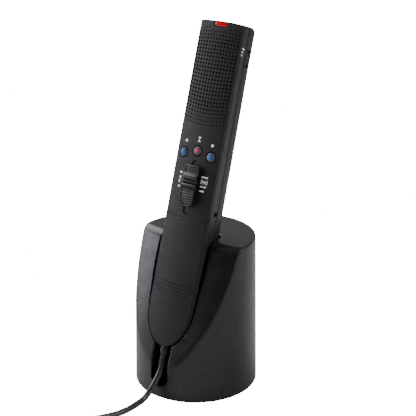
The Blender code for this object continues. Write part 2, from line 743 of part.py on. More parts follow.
def smooth_route(points, steps):
    """Points evenly spaced along a smooth curve through the given ones."""
    pts = [Vector(p) for p in points]
    pts = [2 * pts[0] - pts[1]] + pts + [2 * pts[-1] - pts[-2]]
    fine = []
    for before, start, end, after in zip(pts, pts[1:], pts[2:], pts[3:]):
        for i in range(16):
            t = i / 16
            curve = 2 * start + (end - before) * t
            curve += (2 * before - 5 * start + 4 * end - after) * t * t
            curve += (3 * start - before - 3 * end + after) * t**3
            fine.append(curve / 2)
    fine.append(pts[-2])
    lengths = [0.0]
    for first, second in zip(fine, fine[1:]):
        lengths.append(lengths[-1] + (second - first).length)
    found = []
    index = 0
    for i in range(steps + 1):
        target = lengths[-1] * i / steps
        while index < len(lengths) - 2 and lengths[index + 1] < target:
            index += 1
        part = (target - lengths[index]) / (lengths[index + 1] - lengths[index])
        found.append(fine[index].lerp(fine[index + 1], min(part, 1)))
    return found


def tube(name, points, radius, material, parent, steps):
    curve = bpy.data.curves.new(name, "CURVE")
    curve.dimensions = "3D"
    curve.bevel_depth = radius
    curve.bevel_resolution = 2
    curve.use_fill_caps = True
    curve.materials.append(material)
    route = smooth_route(points, steps)
    spline = curve.splines.new("POLY")
    spline.points.add(len(route) - 1)
    for place, point in zip(spline.points, route):
        place.co = (*point, 1)
    made = bpy.data.objects.new(name, curve)
    made.parent = parent
    bpy.context.scene.collection.objects.link(made)
    return made


def lead_route(axes_matrix):
    """From the strain relief out of the slot, down to the table and along it to the coil."""
    start = axes_matrix @ Vector((0, CORD_Y, RELIEF_END - GAP))
    table = CORD_RADIUS + 0.05 * MM
    free = [
        (-0.3, -33.6, 15.2),
        (-1, -35.8, 11.4),
        (-1.9, -38.6, 7.4),
        (-2.6, -41.6, 4.2),
        (-2.9, -45.2, 2.3),
    ]
    flat = [
        (-2.9, -49),
        (-2.8, -54),
        (-3.1, -60),
        (-4.8, -66.6),
        (-8.2, -73.2),
        (-12.2, -79.6),
        (-16, -87),
        (-19, -95.5),
        (-20.5, -104.5),
        (-21, -114.6),
    ]
    points = [start] + [Vector(p) * MM for p in free]
    return points + [Vector((x * MM, y * MM, table)) for x, y in flat]


def end_route():
    """From the top of the coil, round on it and into the back of the plug."""
    height = 2 * COIL_HALF_THICK + GAP + CORD_RADIUS
    route = []
    for angle in (122, 137, 152, 167, 180):
        turn = math.radians(angle)
        x = COIL_CENTRE.x + COIL_TURN_RADIUS * math.cos(turn)
        route.append(Vector((x, COIL_CENTRE.y + COIL_TURN_RADIUS * math.sin(turn), height)))
    bend = 11.6 * MM
    corner = Vector((COIL_CENTRE.x - COIL_TURN_RADIUS + bend, COIL_CENTRE.y))
    for angle in (200, 222, 245, 270):
        turn = math.radians(angle)
        rise = (PLUG_AXIS_Z - height) * (angle - 180) / 90
        x = corner.x + bend * math.cos(turn)
        route.append(Vector((x, corner.y + bend * math.sin(turn), height + rise)))
    return route


def make_cord(axes, rubber, plastic, steel):
    matrix = Matrix.LocRotScale(axes.location, axes.rotation_euler, None)
    tube("usb_lead", lead_route(matrix), CORD_RADIUS, rubber, None, 44)
    inner = COIL_TURN_RADIUS - COIL_HALF_THICK
    outer = COIL_TURN_RADIUS + COIL_HALF_THICK
    high = 2 * COIL_HALF_THICK
    edge = 1.6 * MM
    profile = [
        (inner + edge, 0),
        (outer - edge, 0),
        (outer, edge),
        (outer, high - edge),
        (outer - edge, high),
        (inner + edge, high),
        (inner, high - edge),
        (inner, edge),
    ]
    coil = smooth(turned("usb_coil", profile, 48, rubber))
    coil.location = COIL_CENTRE
    route = end_route()
    tube("usb_lead_end", route, CORD_RADIUS, rubber, None, 12)
    plug_y = route[-1].y
    rear = route[-1].x + GAP
    low = (rear, plug_y - 7.6 * MM, PLUG_AXIS_Z - 4 * MM)
    high = (rear + 26 * MM, plug_y + 7.6 * MM, PLUG_AXIS_Z + 4 * MM)
    grip = block("usb_plug_grip", low, high, plastic)
    bevel = grip.modifiers.new("rounding", "BEVEL")
    bevel.width = 1.6 * MM
    bevel.segments = 3
    front = rear + 26 * MM + GAP
    shell_low = (front, plug_y - 6 * MM, PLUG_AXIS_Z - 2.25 * MM)
    shell_high = (front + 18.6 * MM, plug_y + 6 * MM, PLUG_AXIS_Z + 2.25 * MM)
    shell = block("usb_plug_shell", shell_low, shell_high, steel)
    room_low = (front + 5 * MM, plug_y - 5.65 * MM, PLUG_AXIS_Z - 1.9 * MM)
    room_high = (front + 30 * MM, plug_y + 5.65 * MM, PLUG_AXIS_Z + 1.9 * MM)
    combine(shell, block("plug_room", room_low, room_high))
    tongue_low = (front + 5.3 * MM, plug_y - 5.3 * MM, PLUG_AXIS_Z - 1.6 * MM)
    tongue_high = (front + 18 * MM, plug_y + 5.3 * MM, PLUG_AXIS_Z + 0.2 * MM)
    block("usb_plug_tongue", tongue_low, tongue_high, plastic)


def main():
    clear_scene()
    black = make_material("black_plastic", (0.035, 0.035, 0.038), 0.55)
    stand_black = make_material("stand_plastic", (0.03, 0.03, 0.032), 0.6)
    dark = make_material("dark_plastic", (0.02, 0.02, 0.02), 0.7)
    rubber = make_material("black_rubber", (0.02, 0.02, 0.02), 0.75)
    ring = make_material("button_grey", (0.2, 0.19, 0.24), 0.3)
    blue = make_material("button_blue", (0.03, 0.08, 0.4), 0.25)
    red = make_material("button_red", (0.45, 0.03, 0.03), 0.25)
    lens = make_material("lamp_red", (0.8, 0.02, 0.01), 0.15)
    led = make_material("led_white", (0.8, 0.8, 0.75), 0.3)
    steel = make_material("steel", (0.5, 0.5, 0.52), 0.35, 1.0)
    zinc = make_material("zinc_screw", (0.6, 0.6, 0.6), 0.4, 1.0)
    brass = make_material("brass", (0.6, 0.5, 0.25), 0.35, 1.0)
    green = make_material("circuit_board", (0.03, 0.2, 0.08), 0.5)
    paper = make_material("cone_paper", (0.1, 0.1, 0.1), 0.9)
    copper = make_material("wire_sheath", (0.3, 0.3, 0.3), 0.6)

    axes = bpy.data.objects.new("microphone_axes", None)
    axes.location = TIP
    axes.rotation_euler = Euler((-LEAN, 0, 0))
    bpy.context.scene.collection.objects.link(axes)

    make_stand_shell(axes, stand_black)
    make_stand_inside(axes, steel, rubber, zinc)
    make_cradle_pads(axes, rubber)
    make_rear_shell(axes, black)
    make_mic_frame(axes, black)
    make_face_panels(axes, black)
    make_shell_screws(axes, zinc)
    make_lamp(axes, lens, led)
    make_buttons(axes, ring, red, blue, dark)
    make_slider(axes, black, dark, dark)
    make_volume(axes, black, brass)
    make_board(axes, green)
    make_sound_parts(axes, steel, paper, rubber, brass, dark)
    make_cord_entry(axes, rubber, dark, zinc, copper)
    make_cord(axes, rubber, dark, steel)


main()
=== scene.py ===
"""The looks of a dictation microphone in its desk stand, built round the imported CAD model.

Shapes are worked out in millimetres, in one of two frames: the stand's, which is the world's, and the
microphone's, which leans back. There x runs across the face, y from the face to the back, and z along the
microphone from its lower tip to its top. place() turns them into metres in the world.
"""

import json
import math

import bpy
import numpy as np
from mathutils import Matrix, Vector
from mathutils.geometry import delaunay_2d_cdt


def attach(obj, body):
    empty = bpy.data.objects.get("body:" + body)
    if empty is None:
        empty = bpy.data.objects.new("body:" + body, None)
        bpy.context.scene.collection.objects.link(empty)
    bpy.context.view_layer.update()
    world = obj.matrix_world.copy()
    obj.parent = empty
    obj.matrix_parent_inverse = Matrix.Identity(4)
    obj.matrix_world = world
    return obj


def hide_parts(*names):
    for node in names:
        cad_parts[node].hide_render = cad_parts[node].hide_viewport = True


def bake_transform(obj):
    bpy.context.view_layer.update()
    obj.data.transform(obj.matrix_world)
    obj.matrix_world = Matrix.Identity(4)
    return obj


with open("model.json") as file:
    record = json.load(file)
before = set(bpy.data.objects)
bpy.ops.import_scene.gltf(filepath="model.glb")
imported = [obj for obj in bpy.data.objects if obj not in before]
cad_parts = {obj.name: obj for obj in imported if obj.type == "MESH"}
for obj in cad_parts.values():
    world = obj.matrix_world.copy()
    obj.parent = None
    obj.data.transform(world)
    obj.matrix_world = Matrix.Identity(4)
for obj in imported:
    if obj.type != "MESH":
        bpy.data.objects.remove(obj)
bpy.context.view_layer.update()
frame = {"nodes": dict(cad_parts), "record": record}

MM = 0.001

# Stand, within half a millimetre of the CAD
STAND_RADIUS = 35.5
STAND_TAPER = 1.4
STAND_HEIGHT = 88.6
STAND_WALL = 2.6
STAND_BOTTOM = 0.02
ARM_TILT = math.radians(21.4)
ARM_CROWN = 0.00156
ARM_FALL = 0.005
ARM_FLAT = 16
RECESS_RADIUS = 32.3
RECESS_TOP = 3.6
BASE_SCREW_RADIUS = 26.5
BASE_SCREW_HOLE = 1.5
BASE_BOSS_RADIUS = 6.2
BASE_SCREW_ANGLES = (-90, 30, 150)

# Microphone, within a millimetre of the CAD
LEAN = math.radians(17.9)
TIP = Vector((0, -31.4, 29.9))
HALF_WIDTH = 14.5
LENGTH = 184.8
TOP_ARCH = 0.6
TOP_CORNER = 0.8
TONGUE = 24.0
TONGUE_END = 0.9
CROWN = 1.2
PANEL = 1.6
WALL = 1.6
PARTING = 75.0
BAND_FRONT = 2.05
BACK_START = 7.5
BACK_DEPTH = 10.9
BACK_POWER_TOP = 2.8
BACK_POWER_LOW = 4.0
POCKET_GAP = 0.8
POCKET_ROOM = 2.3
POCKET_ROOM_TILT = 0.9
POCKET_FLOOR = 20.0
CORD_SLOT_HALF = 5.7
CORD_SLOT_LOW = -17.1
CORD_SLOT_HIGH = 2.3
CORD_SLOT_BACK = 10
SEAM_GAP = 0.3
WHEEL_CENTRE = (4.2, 8.7, 167.0)
WHEEL_RADIUS = 10.6
WHEEL_THICK = 2.8
JACK = (6.5, 79.3)
JACK_RADIUS = 1.3
SCREW_X = 8.6
SCREW_Z = (62.0, 121.5)
BUTTONS = {"left": (-9.1, 110.3), "centre": (0.0, 112.4), "right": (9.1, 110.3)}
BUTTON_RADIUS = 2.8
BUTTON_RISE = 0.7
# Their profiles: radii, with depths below the middle's top
BUTTON_RING = ((1.48, 0.2), (1.52, 0.16), (1.9, 0.24), (2.25, 0.36), (2.45, 0.5), (2.58, 0.75), (2.65, 1.1))
BUTTON_DOME = ((0, 0), (0.5, 0.015), (1.0, 0.065), (1.38, 0.13), (1.45, 0.2), (1.45, 0.8), (0, 0.8))
# The rings' grey is partly their own plastic and partly a painted reflection off their glossy rims.
BLUE, RED, RING_GREY_AND_SHEEN = (0.0, 0.09, 0.42), (0.55, 0.02, 0.06), (0.075, 0.078, 0.1)
BUTTON_LOOKS = {
    "left": ("left_key", "button_blue", BLUE),
    "centre": ("record_key", "button_red", RED),
    "right": ("right_key", "button_blue", BLUE),
}
SLOT_HALF = 2.5
SLOT_LOW = 76.4
SLOT_HIGH = 107.0

# The slider's top along its middle: places along the microphone, with the heights above the face there
CAP_PROFILE = (
    (80.6, 1.3), (81.0, 1.9), (81.8, 2.5), (84.0, 3.0), (88.0, 3.3), (90.9, 3.3), (91.3, 3.2), (91.55, 2.4),
    (92.1, 3.5), (93.0, 3.75), (93.6, 3.4), (94.1, 1.9), (94.6, 2.9), (95.2, 3.15), (95.65, 2.8), (96.0, 2.1),
    (96.4, 3.4), (97.2, 3.8), (98.2, 3.5), (99.2, 2.8), (100.0, 2.35), (100.6, 2.7), (102.0, 3.1),
    (103.2, 3.2), (103.9, 2.9), (104.5, 2.2),
)
RIB_PITCH = 1.35
FINE_RIB_PITCH = 1.1

# Grille and loudspeaker holes
PITCH = 2.0
GRILLE_COLUMNS = 14
GRILLE_ROWS = 27
GRILLE_TOP = 180.9
HOLE_RADIUS = 0.54
SPEAKER_ROWS = 4
SPEAKER_TOP = 36.6
SPEAKER_HOLE_RADIUS = 0.32

# Printed marks: how far the ink stands out of the surface, and how far it goes in
INK = 0.02
INK_ROOT = 0.1

# Cord
CORD_RADIUS = 1.75
CORD_Y = 2.8
CORD_HOLE_RADIUS = 2.15
RELIEF_END = -10.5
CORD_GAP = 0.3
TABLE = CORD_RADIUS + 0.05
COIL_CENTRE = Vector((1.0, -136.0, 0.0))
COIL_TURN_RADIUS = 22.0
COIL_ROWS = 4
COIL_STEP = 3.57
PLUG_AXIS_Z = 18.7

# Studio, with its places in metres
WHITE = 20.0
NOISE_RANGE = (0.3, 0.7)
LIGHT_AIM = Vector((0, 0, 0.1))
LIGHT_DISTANCE = 0.9
DARK_SIDE = 0.02
BRIGHT_SIDE = 0.45

WORLD_MM = Matrix.Scale(MM, 4)
MIC_MM = WORLD_MM @ Matrix.Translation(TIP) @ Matrix.Rotation(-LEAN, 4, "X")
BACKWARD = (0.0, 1.0, 0.0)
SHARP_ANGLE = math.radians(40)
MATERIALS = {}


# ---- Meshes


def place(points, matrix):
    """Points in millimetres in a piece's own frame, as metres in the world."""
    m = np.array(matrix)
    return np.asarray(points, float).reshape(-1, 3) @ m[:3, :3].T + m[:3, 3]


def link_object(name, data):
    """A new object in the scene."""
    made = bpy.data.objects.new(name, data)
    bpy.context.scene.collection.objects.link(made)
    return made


def add_piece(name, shape, slot, replaces=(), body="microphone", matrix=MIC_MM, material=None):
    """A mesh piece that rides on a body, in its slot's material unless it has its own.

    shape is its points and faces, and the smooth normals of its points where they are known."""
    points, faces, *normals = shape
    mesh = bpy.data.meshes.new(name)
    mesh.from_pydata(place(points, matrix).tolist(), [], [list(map(int, f)) for f in faces])
    mesh.update()
    mesh.shade_smooth()
    if normals:
        turned = np.asarray(normals[0], float) @ (np.array(matrix)[:3, :3] / MM).T
        mesh.normals_split_custom_set_from_vertices(turned.tolist())
    else:
        mesh.set_sharp_from_angle(angle=SHARP_ANGLE)
    mesh.materials.append(material or MATERIALS[slot])
    piece = link_object(name, mesh)
    if body:
        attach(piece, body)
    if replaces:
        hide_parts(*replaces)
    return piece


def arc(cx, cy, radius, start, end, steps):
    """Points along an arc, with its angles in degrees."""
    angles = np.radians(np.linspace(start, end, steps + 1))
    return [(cx + radius * math.cos(a), cy + radius * math.sin(a)) for a in angles]


def band_faces(upper, under):
    """Quads between two rings, with the material on the rings' left."""
    after, below = np.roll(upper, -1), np.roll(under, -1)
    return np.stack([upper, under, below, after], axis=1).tolist()


def skin(rings):
    """Quads between each ring of a row and the next."""
    return [face for under, upper in zip(rings, rings[1:]) for face in band_faces(upper, under)]


def lathe(profile, steps, ripple=None):
    """A closed profile of (radius, height) points turned round the z axis.

    ripple gives the outer radius's change for an angle, for knurls."""
    profile = np.array(profile, float)
    angles = np.linspace(0, 2 * math.pi, steps, endpoint=False)[:, None]
    radius, height = profile[None, :, 0], profile[None, :, 1]
    if ripple:
        change = np.array([ripple(a) for a in angles[:, 0]])[:, None]
        radius = np.maximum(radius + change * (radius > 0.5 * radius.max()), 0)
    points = np.stack(np.broadcast_arrays(radius * np.cos(angles), radius * np.sin(angles), height), axis=2)
    rings = np.arange(steps * len(profile)).reshape(steps, -1).T
    return points.reshape(-1, 3), skin(rings)


def welded(points, faces, within=1e-4):
    """Points at the same place made one, and faces that collapsed left out."""
    _, first, index = np.unique(np.round(points / within).astype(int), axis=0, return_index=True,
                                return_inverse=True)
    index = index.reshape(-1)
    corners = [list(dict.fromkeys(int(index[i]) for i in face)) for face in faces]
    return points[first], [face for face in corners if len(face) > 2]


# ---- Solids from fields


def cut_round(a, b, radius=0.0):
    """Negative where both fields are, with the edge between the two surfaces rounded."""
    corner = np.hypot(np.maximum(a + radius, 0), np.maximum(b + radius, 0))
    return np.minimum(np.maximum(a, b), -radius) + corner


def slope_of(field, points, step=0.02):
    """The field's gradient at each point."""
    found = []
    for axis in range(3):
        shift = np.zeros(3)
        shift[axis] = step
        found.append((field(*(points + shift).T) - field(*(points - shift).T)) / (2 * step))
    return np.stack(found, axis=1)


def settle(field, points, rounds):
    """Points moved along the gradient onto the surface, and the surface's normals there."""
    for _ in range(rounds):
        slope = slope_of(field, points)
        size = np.maximum((slope**2).sum(1), 0.05)
        step = slope * (field(*points.T) / size)[:, None]
        points = points - np.clip(step, -0.5, 0.5)
    slope = slope_of(field, points)
    return points, slope / np.maximum(np.linalg.norm(slope, axis=1), 1e-9)[:, None]


def surface_net(field, low, high, cell):
    """A quad mesh of the surface where the field is zero: one vertex in each grid cell that it crosses."""
    lines = [np.arange(a - cell, b + 2 * cell, cell) for a, b in zip(low, high)]
    grid = np.meshgrid(*lines, indexing="ij", sparse=True)
    value = field(*grid) + np.zeros([len(line) for line in lines])
    inside = value < 0
    cells = [n - 1 for n in value.shape]
    total = np.zeros(cells + [3])
    count = np.zeros(cells)
    crossings = []
    for axis in range(3):
        head, tail = [slice(None)] * 3, [slice(None)] * 3
        head[axis], tail[axis] = slice(1, None), slice(None, -1)
        crossed = np.argwhere(inside[tuple(tail)] != inside[tuple(head)])
        a, b = value[tuple(tail)][tuple(crossed.T)], value[tuple(head)][tuple(crossed.T)]
        spot = np.stack([lines[k][crossed[:, k]] for k in range(3)], axis=1)
        spot[:, axis] += cell * a / (a - b)
        others = [k for k in range(3) if k != axis]
        around = []
        for shift in ((0, 0), (1, 0), (1, 1), (0, 1)):
            at = crossed.copy()
            at[:, others] -= shift
            around.append(at)
        for at in around:
            fits = ((at >= 0) & (at < cells)).all(axis=1)
            place_in = tuple(at[fits].T)
            for k in range(3):
                np.add.at(total[..., k], place_in, spot[fits, k])
            np.add.at(count, place_in, 1)
        rising = a < 0
        # For the middle axis, the other two follow each other the other way round
        crossings.append((around, ~rising if axis == 1 else rising))
    used = count > 0
    index = np.full(cells, -1)
    index[used] = np.arange(used.sum())
    quads = []
    for around, forward in crossings:
        quad = np.stack([index[tuple(at.T)] for at in around], axis=1)
        quad[~forward] = quad[~forward][:, ::-1]
        quads.append(quad)
    return total[used] / count[used][:, None], np.concatenate(quads)


def thinned(points, faces, share):
    """The mesh with fewer faces where it is flat, as triangles."""
    mesh = bpy.data.meshes.new("thinning")
    mesh.from_pydata(points.tolist(), [], faces.tolist())
    made = link_object("thinning", mesh)
    made.modifiers.new("thin", "DECIMATE").ratio = share
    less = made.evaluated_get(bpy.context.evaluated_depsgraph_get()).to_mesh()
    points = np.zeros(len(less.vertices) * 3)
    less.vertices.foreach_get("co", points)
    faces = [list(face.vertices) for face in less.polygons]
    bpy.data.objects.remove(made)
    bpy.data.meshes.remove(mesh)
    return points.reshape(-1, 3), faces


def solid(field, low, high, cell, share):
    """(points, faces, normals) of the solid where the field is negative."""
    points, quads = surface_net(field, low, high, cell)
    points, _ = settle(field, points, 2)
    points, faces = thinned(points, quads, share)
    points, normals = settle(field, points, 1)
    return points, faces, normals


def add_solid(name, field, low, high, fine, rough, slot, replaces, **place_of):
    add_piece(name, solid(field, low, high, *fine), slot, replaces, **place_of)


def cylinder(a, b, radius, low, high, along):
    """The field of a cylinder along an axis, given its two cross coordinates."""
    return cut_round(np.hypot(a, b) - radius, np.maximum(low - along, along - high))


# ---- Outlines


def crown_y(x, *_):
    """How far the face stands forward, as a y in the microphone's frame. It is the same all along."""
    return -CROWN * (1 - (x / HALF_WIDTH) ** 2)


def seam_y(z):
    """Where the side band ends and the rear shell starts."""
    low = 4 + 5 * np.sqrt(np.maximum(1 - (1 - np.clip(z, 0, 35) / 35) ** 2, 0))
    return np.where(z < 35, low, 5.72 + 0.022 * (LENGTH - z))


def back_y(z):
    """How far back the rear shell reaches along its middle."""
    low = 7 + 11.3 * np.sqrt(np.maximum(1 - (1 - np.clip(z, 0, 45) / 45) ** 2, 0))
    return np.where(z < 45, low, 15.8 + 0.018 * (LENGTH - z))


def behind(line, y, z):
    """How far a place is behind a line of the side view, measured square to the line."""
    steepness = np.clip((line(z + 0.1) - line(z - 0.1)) / 0.2, -6, 6)
    return (y - line(z)) / np.hypot(1, steepness)


def top_z(x):
    """How far up the microphone reaches: its top edge is slightly arched."""
    return LENGTH - TOP_ARCH * (x / HALF_WIDTH) ** 2


def face_field(x, z, grow=0.0, open_top=False):
    """Negative inside the face's outline: a round tongue below, straight sides and a slightly arched top."""
    half, deep = HALF_WIDTH + grow, TONGUE - TONGUE_END + grow
    q = np.hypot(x / half, (z - TONGUE) / deep)
    slope = np.hypot(x / half**2, (z - TONGUE) / deep**2)
    tongue = (q - 1) * np.minimum(q / np.maximum(slope, 1e-9), half + deep)
    field = np.where(z < TONGUE, tongue, np.abs(x) - half)
    return field if open_top else cut_round(field, z - top_z(x), TOP_CORNER)


def section_field(x, y, z, half, depth):
    """Negative inside the rear's cross-section: straight sides that round over into the back."""
    power = BACK_POWER_LOW + (BACK_POWER_TOP - BACK_POWER_LOW) * np.clip((z - 70) / 90, 0, 1)
    u = np.abs(x) / half
    v = np.maximum(y - BACK_START, 0) / depth
    q = (u**power + v**power) ** (1 / power)
    bend = power - 1
    slope = np.hypot(u**bend / half, v**bend / depth) / np.maximum(q, 1e-6) ** bend
    return (q - 1) / np.maximum(slope, 0.02)


# ---- Face plates with real holes


def inward(loop):
    """The unit direction from each point of a loop into the material, which is on the loop's left."""
    loop = np.asarray(loop, float)
    ahead = np.roll(loop, -1, axis=0) - loop
    ahead /= np.maximum(np.linalg.norm(ahead, axis=1), 1e-9)[:, None]
    normal = np.stack([-ahead[:, 1], ahead[:, 0]], axis=1)
    both = normal + np.roll(normal, 1, axis=0)
    size = np.linalg.norm(both, axis=1)
    return both / np.maximum(size, 1e-9)[:, None] * (2 / np.maximum(size, 1.2))[:, None]


def holds(loop, spots):
    """Which spots are inside a loop."""
    x, y = spots[:, 0], spots[:, 1]
    found = np.zeros(len(spots), bool)
    for (ax, ay), (bx, by) in zip(loop, np.roll(loop, -1, axis=0)):
        spans = (ay > y) != (by > y)
        with np.errstate(divide="ignore", invalid="ignore"):
            found ^= spans & (x < (bx - ax) * (y - ay) / (by - ay) + ax)
    return found


def front_triangles(rims, filling):
    """Triangles between an outer loop, its holes and loose points, as indices into all of them in a row.

    Those with all their corners on one hole are inside it, and those on the outer loop may be outside it."""
    flat = np.concatenate([*rims, filling])
    owner = np.repeat([*range(len(rims)), -1], [*map(len, rims), len(filling)])
    edges, start = [], 0
    for rim in rims:
        edges += [(start + i, start + (i + 1) % len(rim)) for i in range(len(rim))]
        start += len(rim)
    spots, _, triangles, origins, _, _ = delaunay_2d_cdt([Vector(p) for p in flat], edges, [], 0, 1e-5)
    first = np.array([ids[0] if ids else -1 for ids in origins])
    corners = np.array(triangles)
    kinds = np.where(first[corners] >= 0, owner[first[corners]], -1)
    same = (kinds[:, 0] == kinds[:, 1]) & (kinds[:, 1] == kinds[:, 2]) & (kinds[:, 0] >= 0)
    centres = np.array([list(spot) for spot in spots])[corners].mean(axis=1)
    return first[corners[~same | (kinds[:, 0] == 0) & holds(rims[0], centres)]]


def plate(outline, holes, surface, back, lip, hole_lip=0.12, filling=()):
    """(points, faces, normals) of a plate over (x, z), with rounded edges round its outline and its holes.

    The outline runs anticlockwise seen from the front and the holes clockwise. surface and back give y.
    filling holds points in between that let the plate follow its curve."""
    loops = [(np.asarray(outline, float), np.broadcast_to(lip, len(outline))[:, None], 3)]
    loops += [(np.asarray(hole, float), np.full((len(hole), 1), hole_lip), 1) for hole in holes]
    directions = [inward(loop) for loop, _, _ in loops]
    rims = [loop + ways * size for (loop, size, _), ways in zip(loops, directions)]
    filling = np.asarray(filling, float).reshape(-1, 2)
    front = front_triangles(rims, filling)
    x, z = np.concatenate([*rims, filling]).T
    y = surface(x, z)
    step = 0.05
    tilt_x = (surface(x + step, z) - surface(x - step, z)) / (2 * step)
    tilt_z = (surface(x, z + step) - surface(x, z - step)) / (2 * step)
    facing = np.stack([tilt_x, -np.ones(len(x)), tilt_z], axis=1)
    facing /= np.linalg.norm(facing, axis=1)[:, None]
    points, normals = [np.stack([x, y, z], axis=1)], [facing]
    faces = front.tolist()
    total, start = len(x), 0
    lower = np.full(len(x), -1)

    def add(spots, ways):
        """More points, and their indices."""
        nonlocal total
        points.append(spots)
        normals.append(ways)
        total += len(spots)
        return np.arange(total - len(spots), total)

    for (loop, size, count), ways in zip(loops, directions):
        length = len(loop)
        ring = np.arange(start, start + length)
        outward = -ways / np.linalg.norm(ways, axis=1)[:, None]
        wall = np.stack([outward[:, 0], np.zeros(length), outward[:, 1]], axis=1)
        top = y[ring]
        for angle in np.linspace(0, math.pi / 2, count + 1)[1:]:
            at = loop + ways * size * (1 - math.sin(angle))
            down = size[:, 0] * (1 - math.cos(angle))
            new = add(np.stack([at[:, 0], top + down, at[:, 1]], axis=1),
                      facing[start : start + length] * math.cos(angle) + wall * math.sin(angle))
            faces += band_faces(ring, new)
            ring = new
        end = np.stack([loop[:, 0], back(loop[:, 0], loop[:, 1]), loop[:, 1]], axis=1)
        faces += band_faces(ring, add(end, wall))
        lower[start : start + length] = add(end, np.tile(BACKWARD, (length, 1)))
        start += length
    x, z = x[start:], z[start:]
    lower[start:] = add(np.stack([x, back(x, z), z], axis=1), np.tile(BACKWARD, (len(x), 1)))
    faces += lower[front][:, ::-1].tolist()
    return np.concatenate(points), faces, np.concatenate(normals)


def circle(x, z, radius, steps):
    """A round loop of (x, z) points, anticlockwise from the right."""
    angles = np.linspace(0, 2 * math.pi, steps, endpoint=False)
    return [(x + radius * math.cos(a), z + radius * math.sin(a)) for a in angles]


def ring_hole(x, z, radius, steps=12):
    """A round hole's loop, clockwise from the right."""
    return [(a, 2 * z - b) for a, b in circle(x, z, radius, steps)]


def spaced(loop, step):
    """The loop with its long edges divided."""
    found = []
    for (ax, ay), (bx, by) in zip(loop, loop[1:] + loop[:1]):
        pieces = max(1, math.ceil(math.dist((ax, ay), (bx, by)) / step))
        found += [(ax + (bx - ax) * i / pieces, ay + (by - ay) * i / pieces) for i in range(pieces)]
    return found


# ---- Materials


def feed(tree, node, inputs):
    """Sets a node's inputs. Another node's output is linked, and anything else is the value itself."""
    for key, value in inputs.items():
        if isinstance(value, bpy.types.NodeSocket):
            tree.links.new(value, node.inputs[key])
        else:
            node.inputs[key].default_value = value


def add_node(tree, kind, inputs=None, operation=None):
    """A new node with its inputs set."""
    made = tree.nodes.new(kind)
    if operation:
        made.operation = operation
    feed(tree, made, inputs or {})
    return made


def shade(tree, inputs):
    """Sets inputs of the material's own shader."""
    feed(tree, tree.nodes["Principled BSDF"], inputs)


def new_material(name):
    """A material, its node tree and the object's own coordinates in it."""
    made = bpy.data.materials.new(name)
    made.use_nodes = True
    return made, made.node_tree, add_node(made.node_tree, "ShaderNodeTexCoord").outputs["Object"]


def noise(tree, coords, scale, detail, stretch=None):
    """A noise in the object's own coordinates."""
    if stretch:
        coords = add_node(tree, "ShaderNodeMapping", {"Vector": coords, "Scale": stretch}).outputs["Vector"]
    inputs = {"Vector": coords, "Scale": scale, "Detail": detail}
    return add_node(tree, "ShaderNodeTexNoise", inputs).outputs["Fac"]


def spread(tree, source, low, high):
    """A value that goes from low to high over a noise's middle range."""
    start, end = NOISE_RANGE
    inputs = {"Value": source, "From Min": start, "From Max": end, "To Min": low, "To Max": high}
    return add_node(tree, "ShaderNodeMapRange", inputs).outputs["Result"]


def colour_between(tree, source, first, second):
    """A colour that goes from first to second over a noise's middle range."""
    ramp = add_node(tree, "ShaderNodeValToRGB", {"Fac": source})
    for stop, position, colour in zip(ramp.color_ramp.elements, NOISE_RANGE, (first, second)):
        stop.position, stop.color = position, (*colour, 1)
    return ramp.outputs["Color"]


def bump(tree, height, strength, distance):
    """A normal that follows a height. The distance is in metres."""
    inputs = {"Height": height, "Strength": strength, "Distance": distance}
    return add_node(tree, "ShaderNodeBump", inputs).outputs["Normal"]


def tinted(colour, factor):
    return tuple(c * factor for c in colour)


def moulded(name, colour, roughness, grain=3600.0, strength=0.25, level=0.5, variation=0.12, sheen=0.0):
    """Moulded plastic or rubber: a fine eroded grain, with slight clouds in its colour and gloss."""
    made, tree, coords = new_material(name)
    clouds, smudge = noise(tree, coords, 90.0, 4.0), noise(tree, coords, 260.0, 5.0)
    dark, light = tinted(colour, 1 - variation), tinted(colour, 1 + variation)
    shade(tree, {
        "Base Color": colour_between(tree, clouds, dark, light),
        "Roughness": spread(tree, smudge, roughness - 0.05, roughness + 0.05),
        "Specular IOR Level": level,
        "Sheen Weight": sheen,
        "Normal": bump(tree, noise(tree, coords, grain, 2.0), strength, 0.00006),
    })
    return made


def printed(name, colour):
    """Ink with a faint painted glow of its own, which keeps it bright however it is lit."""
    made = moulded(name, colour, 0.5, 2500.0, 0.05, variation=0.03)
    # The emission is painted light: the ink glows a little, though it is no lamp.
    shade(made.node_tree, {"Emission Color": (1, 1, 1, 1), "Emission Strength": 0.22})
    return made


def metal(name, colour, roughness, stretch=(1, 1, 12)):
    """Plain or plated metal with faint drawn lines."""
    made, tree, coords = new_material(name)
    lines = noise(tree, coords, 700.0, 3.0, stretch)
    shade(tree, {
        "Base Color": colour_between(tree, lines, tinted(colour, 0.9), tinted(colour, 1.08)),
        "Roughness": spread(tree, lines, roughness - 0.06, roughness + 0.08),
        "Metallic": 1.0,
        "Normal": bump(tree, lines, 0.08, 0.00004),
    })
    return made


